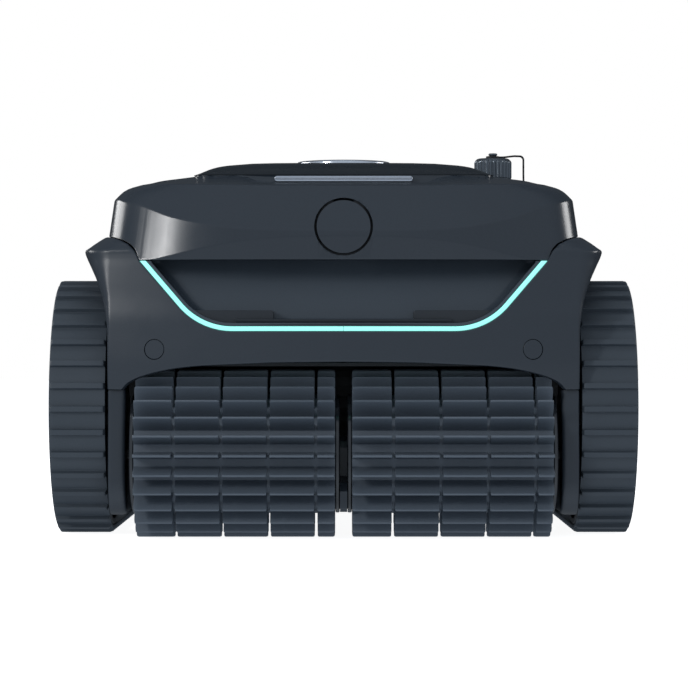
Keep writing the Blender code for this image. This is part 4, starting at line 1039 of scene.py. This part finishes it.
def make_brush(name, side):
    """Half of the roller: a core with end discs, and a rubber sleeve of slotted vanes."""
    core = [(4.3, 3.1), (4.6, 2.9), (42.8, 2.9), (43.5, 3.5), (43.5, 5.3), (42.9, 5.9), (40.4, 6.1), (40.4, 151.3)]
    core += [(42.9, 151.5), (43.5, 152.1), (43.5, 153.9), (42.8, 154.5), (36, 154.5), (36, 6.9), (9, 6.9)]
    core += [(9, 152.5), (4.3, 152.5)]
    bm = lathe("X", (0, BRUSH_Y, BRUSH_Z), on_side(side, core), 128)
    finish_piece(bm, f"brush_core_{name}", GLOSS, f"brush_{name}", sharp=30, keep=True)

    # distance from the middle and largest radius there; and distance round and radius, across one vane
    start, end, tip, root, bore = 6.2, 151.2, 61.5, 43.9, 41
    columns = [(start, 58.5), (6.45, 60.6), (7.0, 61.3), (8.0, tip)]
    for slot in SLOTS[side]:
        columns += [(slot - 2.2, tip), (slot - 1.4, 61.2), (slot - 1.12, 60.4), (slot - 1.08, root)]
        columns += [(slot + 1.08, root), (slot + 1.12, 60.4), (slot + 1.4, 61.2), (slot + 2.2, tip)]
    columns += [(149.4, tip), (150.4, 61.3), (150.95, 60.6), (end, 58.5)]
    section = [(-3.4, root), (-2.4, 44.3), (-1.75, 46), (-1.0, 60.8), (-0.6, tip)]
    section += [(0.6, tip), (1.0, 60.8), (1.75, 46), (2.4, 44.3), (3.4, root)]
    turns = []
    for i in range(VANE_COUNT):
        for shift, radius in section:
            turns.append((math.pi + i * 2 * math.pi / VANE_COUNT + shift / radius, radius))
    rows = []
    for x, limit in columns:
        row = []
        for turn, radius in turns:
            r = min(radius, limit)
            row.append((side * x, BRUSH_Y + r * math.cos(turn), BRUSH_Z + r * math.sin(turn)))
        rows.append(row)
    for x in (end, start):
        rows.append([(side * x, BRUSH_Y + bore * math.cos(t), BRUSH_Z + bore * math.sin(t)) for t, _ in turns])
    finish_piece(grid(rows, closed=True), f"brush_sleeve_{name}", VANES_PAINTED_LIGHT, f"brush_{name}", sharp=30, keep=True)


# ---------------- outlet, port and cap


def make_outlet():
    """The raised outlet on the deck, with its silver ring."""
    housing = [(33.3, 205.2), (33.5, 205), (36.3, 205), (36.5, 205.2), (36.5, 268.3), (47.6, 268.3), (48, 268.8)]
    housing += [(47.2, 271), (43.2, 281), (41.4, 283.4), (40, 284), (33.9, 284), (33.3, 283.4)]
    bm = lathe("Z", (0, OUTLET_Y, 0), housing, 128)
    finish_piece(bm, "outlet_housing", LID, "hull", sharp=30, keep=True)
    ring = [(31, 284.6), (31.3, 284.3), (37.6, 284.3), (38, 284.7), (38, 287.5), (37.7, 288.2), (36.9, 289.0)]
    ring += [(36.3, 289.2), (35.4, 289.0), (31.4, 287.8), (31, 287.3)]
    bm = lathe("Z", (0, OUTLET_Y, 0), ring, 128)
    finish_piece(bm, "outlet_ring", SILVER, "hull", keep=True)


def make_port():
    """The charging port, its ribbed cap and the cap's tether."""
    port = [(0, 246), (10, 246), (10, 268.3), (13.6, 268.3), (14, 268.7), (14, 270.9), (13.6, 271.3), (9.9, 271.3)]
    port += [(9.5, 271.7), (9.5, 277.9), (9.1, 278.3), (7.9, 278.3), (7.5, 277.9), (7.5, 262), (0, 262)]
    bm = lathe("Z", (PORT_X, PORT_Y, 0), port, 96)
    finish_piece(bm, "charge_port", GLOSS, "hull", sharp=30, keep=True)

    # radius and height round the cap; the side, where the grooves are cut, is the middle stretch
    above = [(0.0, 294.0), (2.9, 294.0), (3.5, 293.5), (3.5, 292.6), (3.1, 292.2), (2.3, 292.0)]
    above += [(2.3, 289.9), (11.6, 289.8), (12.9, 289.3), (14.3, 287.9)]
    grooved = [(14.85, 286.8), (14.85, 286.2), (14.85, 274.6), (14.6, 274.2)]
    below = [(14.4, 273.9), (14.85, 273.5), (14.85, 272.0), (14.5, 271.6)]
    below += [(10.3, 271.6), (10, 271.9), (10, 279.3), (0, 279.3)]
    ribs, depths = 28, (0.0, 0.0, 0.35, 0.9, 0.9, 0.35)
    count = ribs * len(depths)
    rows = []
    for i in range(count):
        turn = 2 * math.pi * i / count
        side = [(radius - depths[i % len(depths)], z) for radius, z in grooved]
        row = [(PORT_X + r * math.cos(turn), PORT_Y + r * math.sin(turn), z) for r, z in above + side + below]
        rows.append(row)
    finish_piece(grid(rows, closed=True), "port_cap", CAP, "charge_cap", sharp=32, keep=True)

    ring = [(2.6, 290.35), (2.75, 290.2), (5.3, 290.2), (5.5, 290.4)]
    ring += [(5.5, 291.5), (5.3, 291.7), (2.75, 291.7), (2.6, 291.55)]
    ring = lathe("Z", (PORT_X, PORT_Y, 0), ring, 64)
    path = [(123.9, 290.9), (128, 291.0), (132, 291.5), (136, 291.9), (139.5, 291.8)]
    path += arc(140.2, 288.7, 3.1, 80, 0, 9)
    path += [(143.3, 284), (143.3, 278), (143.4, 272), (143.3, 268.5)]
    section = [(-2.5, -0.35), (-2.2, -0.62), (2.2, -0.62), (2.5, -0.35)]
    section += [(2.5, 0.35), (2.2, 0.62), (-2.2, 0.62), (-2.5, 0.35)]
    rows = []
    for i, (x, z) in enumerate(path):
        before, after = Vector(path[max(0, i - 1)]), Vector(path[min(len(path) - 1, i + 1)])
        along = (after - before).normalized()
        out = Vector((-along.y, along.x))
        rows.append([(x + out.x * n, PORT_Y + v, z + out.y * n) for v, n in section])
    strap = raw(grid(rows, ends=True), "cap_tether_visual")
    unite(strap, ring)
    finish_piece(strap, "cap_tether", SEAL, "hull", keep=True)


# ---------------- CAD nodes that stay

# material and edge rounding
CARRIED = {
    "chassis_tub": (DARK, 0.8),
    "bottom_plate": (DARK, 0.6),
    "button_housing": (DARK, 0.2),
    "lid_hinge_pin": (STEEL, 0.2),
    "outlet_grille": (DARK, 0.3),
    "pump_motor": (DARK, 0.5),
    "filter_basket": (DARK, 0.5),
    "filter_screen": (SCREEN, 0.1),
    "control_box": (DARK, 1.2),
    "battery_pack": (CELL, 2.0),
    "front_axle": (STEEL, 0.3),
    "brush_bracket": (SHELL, 0.5),
    "lid_catch": (DARK, 0.3),
    "lid_seal": (SEAL, 0.3),
    "propeller": (DARK, 0.2),
}
for label, _ in SIDES:
    CARRIED[f"gear_cover_{label}"] = (DARK, 0.3)
    CARRIED[f"drive_motor_{label}"] = (DARK, 0.5)
    CARRIED[f"intake_flap_{label}"] = (SEAL, 0.3)
    CARRIED[f"wheel_gear_{label}"] = (NYLON, 0.2)
    CARRIED[f"idler_gear_{label}"] = (NYLON, 0.2)
    CARRIED[f"brush_gear_{label}"] = (DARK, 0.2)


def carry_over():
    """Gives the CAD nodes that stay a material and softened edges."""
    for name, (mat, width) in CARRIED.items():
        node = nodes[name]
        if not node.material_slots:
            node.data.materials.append(mat)
        for slot in node.material_slots:
            slot.material = mat
        edge_bevel(node, width, 2, 35)


# ---------------- stage


# strengths of the sky in front, behind, below and above, as the machine sees it
AMBIENT_FRONT, AMBIENT_BACK = 0.48, 0.03
AMBIENT_LOW, AMBIENT_HIGH = 0.38, 0.08
AMBIENT_TINT = (0.88, 0.98, 1.1)
# name, place, target, width and height in metres, watts, whether it is seen in reflections
LAMPS = [
    ("left_key", (-2.03, -2.14, 1.2), (-0.1, -0.15, 0.2), 0.3, 0.7, 20, True),
    ("left_panel", (-1.7, 0.8, 0.86), (0, 0, 0.2), 1.3, 0.5, 14, True),
    ("right_panel", (1.9, 0.55, 0.86), (0, 0, 0.2), 0.7, 0.5, 8, True),
    ("top_softbox", (0, -0.1, 2.6), (0, 0, 0.2), 1.6, 1.0, 22, False),
]
FLOOR_SIZE, FLOOR_GLOW = 9.0, 0.93


def lamp(name, place, target, width, height, power, reflected):
    data = bpy.data.lights.new(name, "AREA")
    data.shape = "RECTANGLE"
    data.size = width
    data.size_y = height
    data.energy = power
    made = bpy.data.objects.new(name, data)
    made.location = place
    made.rotation_euler = (Vector(target) - Vector(place)).to_track_quat("-Z", "Y").to_euler()
    made.visible_glossy = reflected
    bpy.context.scene.collection.objects.link(made)


def make_floor():
    """A pale floor that glows evenly, as the photo's background does, and is left out of reflections."""
    bm = bmesh.new()
    bmesh.ops.create_grid(bm, x_segments=8, y_segments=8, size=FLOOR_SIZE)
    mesh = bpy.data.meshes.new("floor")
    bm.to_mesh(mesh)
    bm.free()
    floor = bpy.data.objects.new("floor", mesh)
    bpy.context.scene.collection.objects.link(floor)
    pale = surface("floor_paint", (0.8, 0.8, 0.8), 0.9, grain=60, relief=0.01, blotch=0.6, variation=0.01)
    shader = pale.node_tree.nodes["Principled BSDF"]
    shader.inputs["Emission Color"].default_value = (1, 1, 1, 1)
    shader.inputs["Emission Strength"].default_value = FLOOR_GLOW
    mesh.materials.append(pale)
    floor.visible_glossy = False
    floor.visible_diffuse = False


def make_world():
    """White to the camera; a soft sky, brightest in front, to everything else."""
    world = bpy.data.worlds.new("studio")
    world.use_nodes = True
    tree = world.node_tree
    link = tree.links.new

    def level(strength):
        return (*[c * strength for c in AMBIENT_TINT], 1)

    split = add_node(tree, "SeparateXYZ")
    link(add_node(tree, "TexCoord").outputs["Generated"], split.inputs["Vector"])

    forward = add_node(tree, "MapRange", {"From Min": 1.0, "From Max": -1.0})
    link(split.outputs["Y"], forward.inputs["Value"])
    glow = add_node(tree, "ValToRGB")
    link(forward.outputs["Result"], glow.inputs["Fac"])
    ramp = glow.color_ramp
    ramp.interpolation = "EASE"
    ramp.elements[0].position, ramp.elements[0].color = 0.25, level(AMBIENT_BACK)
    ramp.elements[1].position, ramp.elements[1].color = 0.85, level(AMBIENT_FRONT)

    height = add_node(tree, "MapRange", {"From Min": -1.0, "From Max": 1.0})
    link(split.outputs["Z"], height.inputs["Value"])
    lift = add_node(tree, "ValToRGB")
    link(height.outputs["Result"], lift.inputs["Fac"])
    for element, strength in zip(lift.color_ramp.elements, (AMBIENT_LOW, AMBIENT_HIGH)):
        element.color = level(strength)
    lift.color_ramp.elements.new(0.5).color = (0, 0, 0, 1)

    total = add_node(tree, "Mix", {"Factor": 1.0}, data_type="RGBA", blend_type="ADD")
    link(glow.outputs["Color"], total.inputs["A"])
    link(lift.outputs["Color"], total.inputs["B"])
    choice = add_node(tree, "Mix", {"B": (1, 1, 1, 1)}, data_type="RGBA")
    link(add_node(tree, "LightPath").outputs["Is Camera Ray"], choice.inputs["Factor"])
    link(total.outputs["Result"], choice.inputs["A"])
    link(choice.outputs["Result"], tree.nodes["Background"].inputs["Color"])
    bpy.context.scene.world = world


def make_stage():
    make_floor()
    make_world()
    bpy.context.scene.view_settings.view_transform = "Standard"
    for row in LAMPS:
        lamp(*row)


# ---------------- the whole machine

make_lower_shell()
make_upper_shell()
for label, direction in SIDES:
    finish_piece(screw_cover(direction, 7.1, 6, 0.0, 0.35), f"screw_cover_{label}", SHELL, "hull", sharp=35)
    make_side_plate(label, direction)
    make_belt(label, direction)
    for place in ("front", "rear"):
        make_wheel(place, label, direction)
    make_brush(label, direction)
make_button()
make_tray()
make_light_strip()
make_lid()
make_grip()
make_bumper()
make_outlet()
make_port()
carry_over()
make_stage()
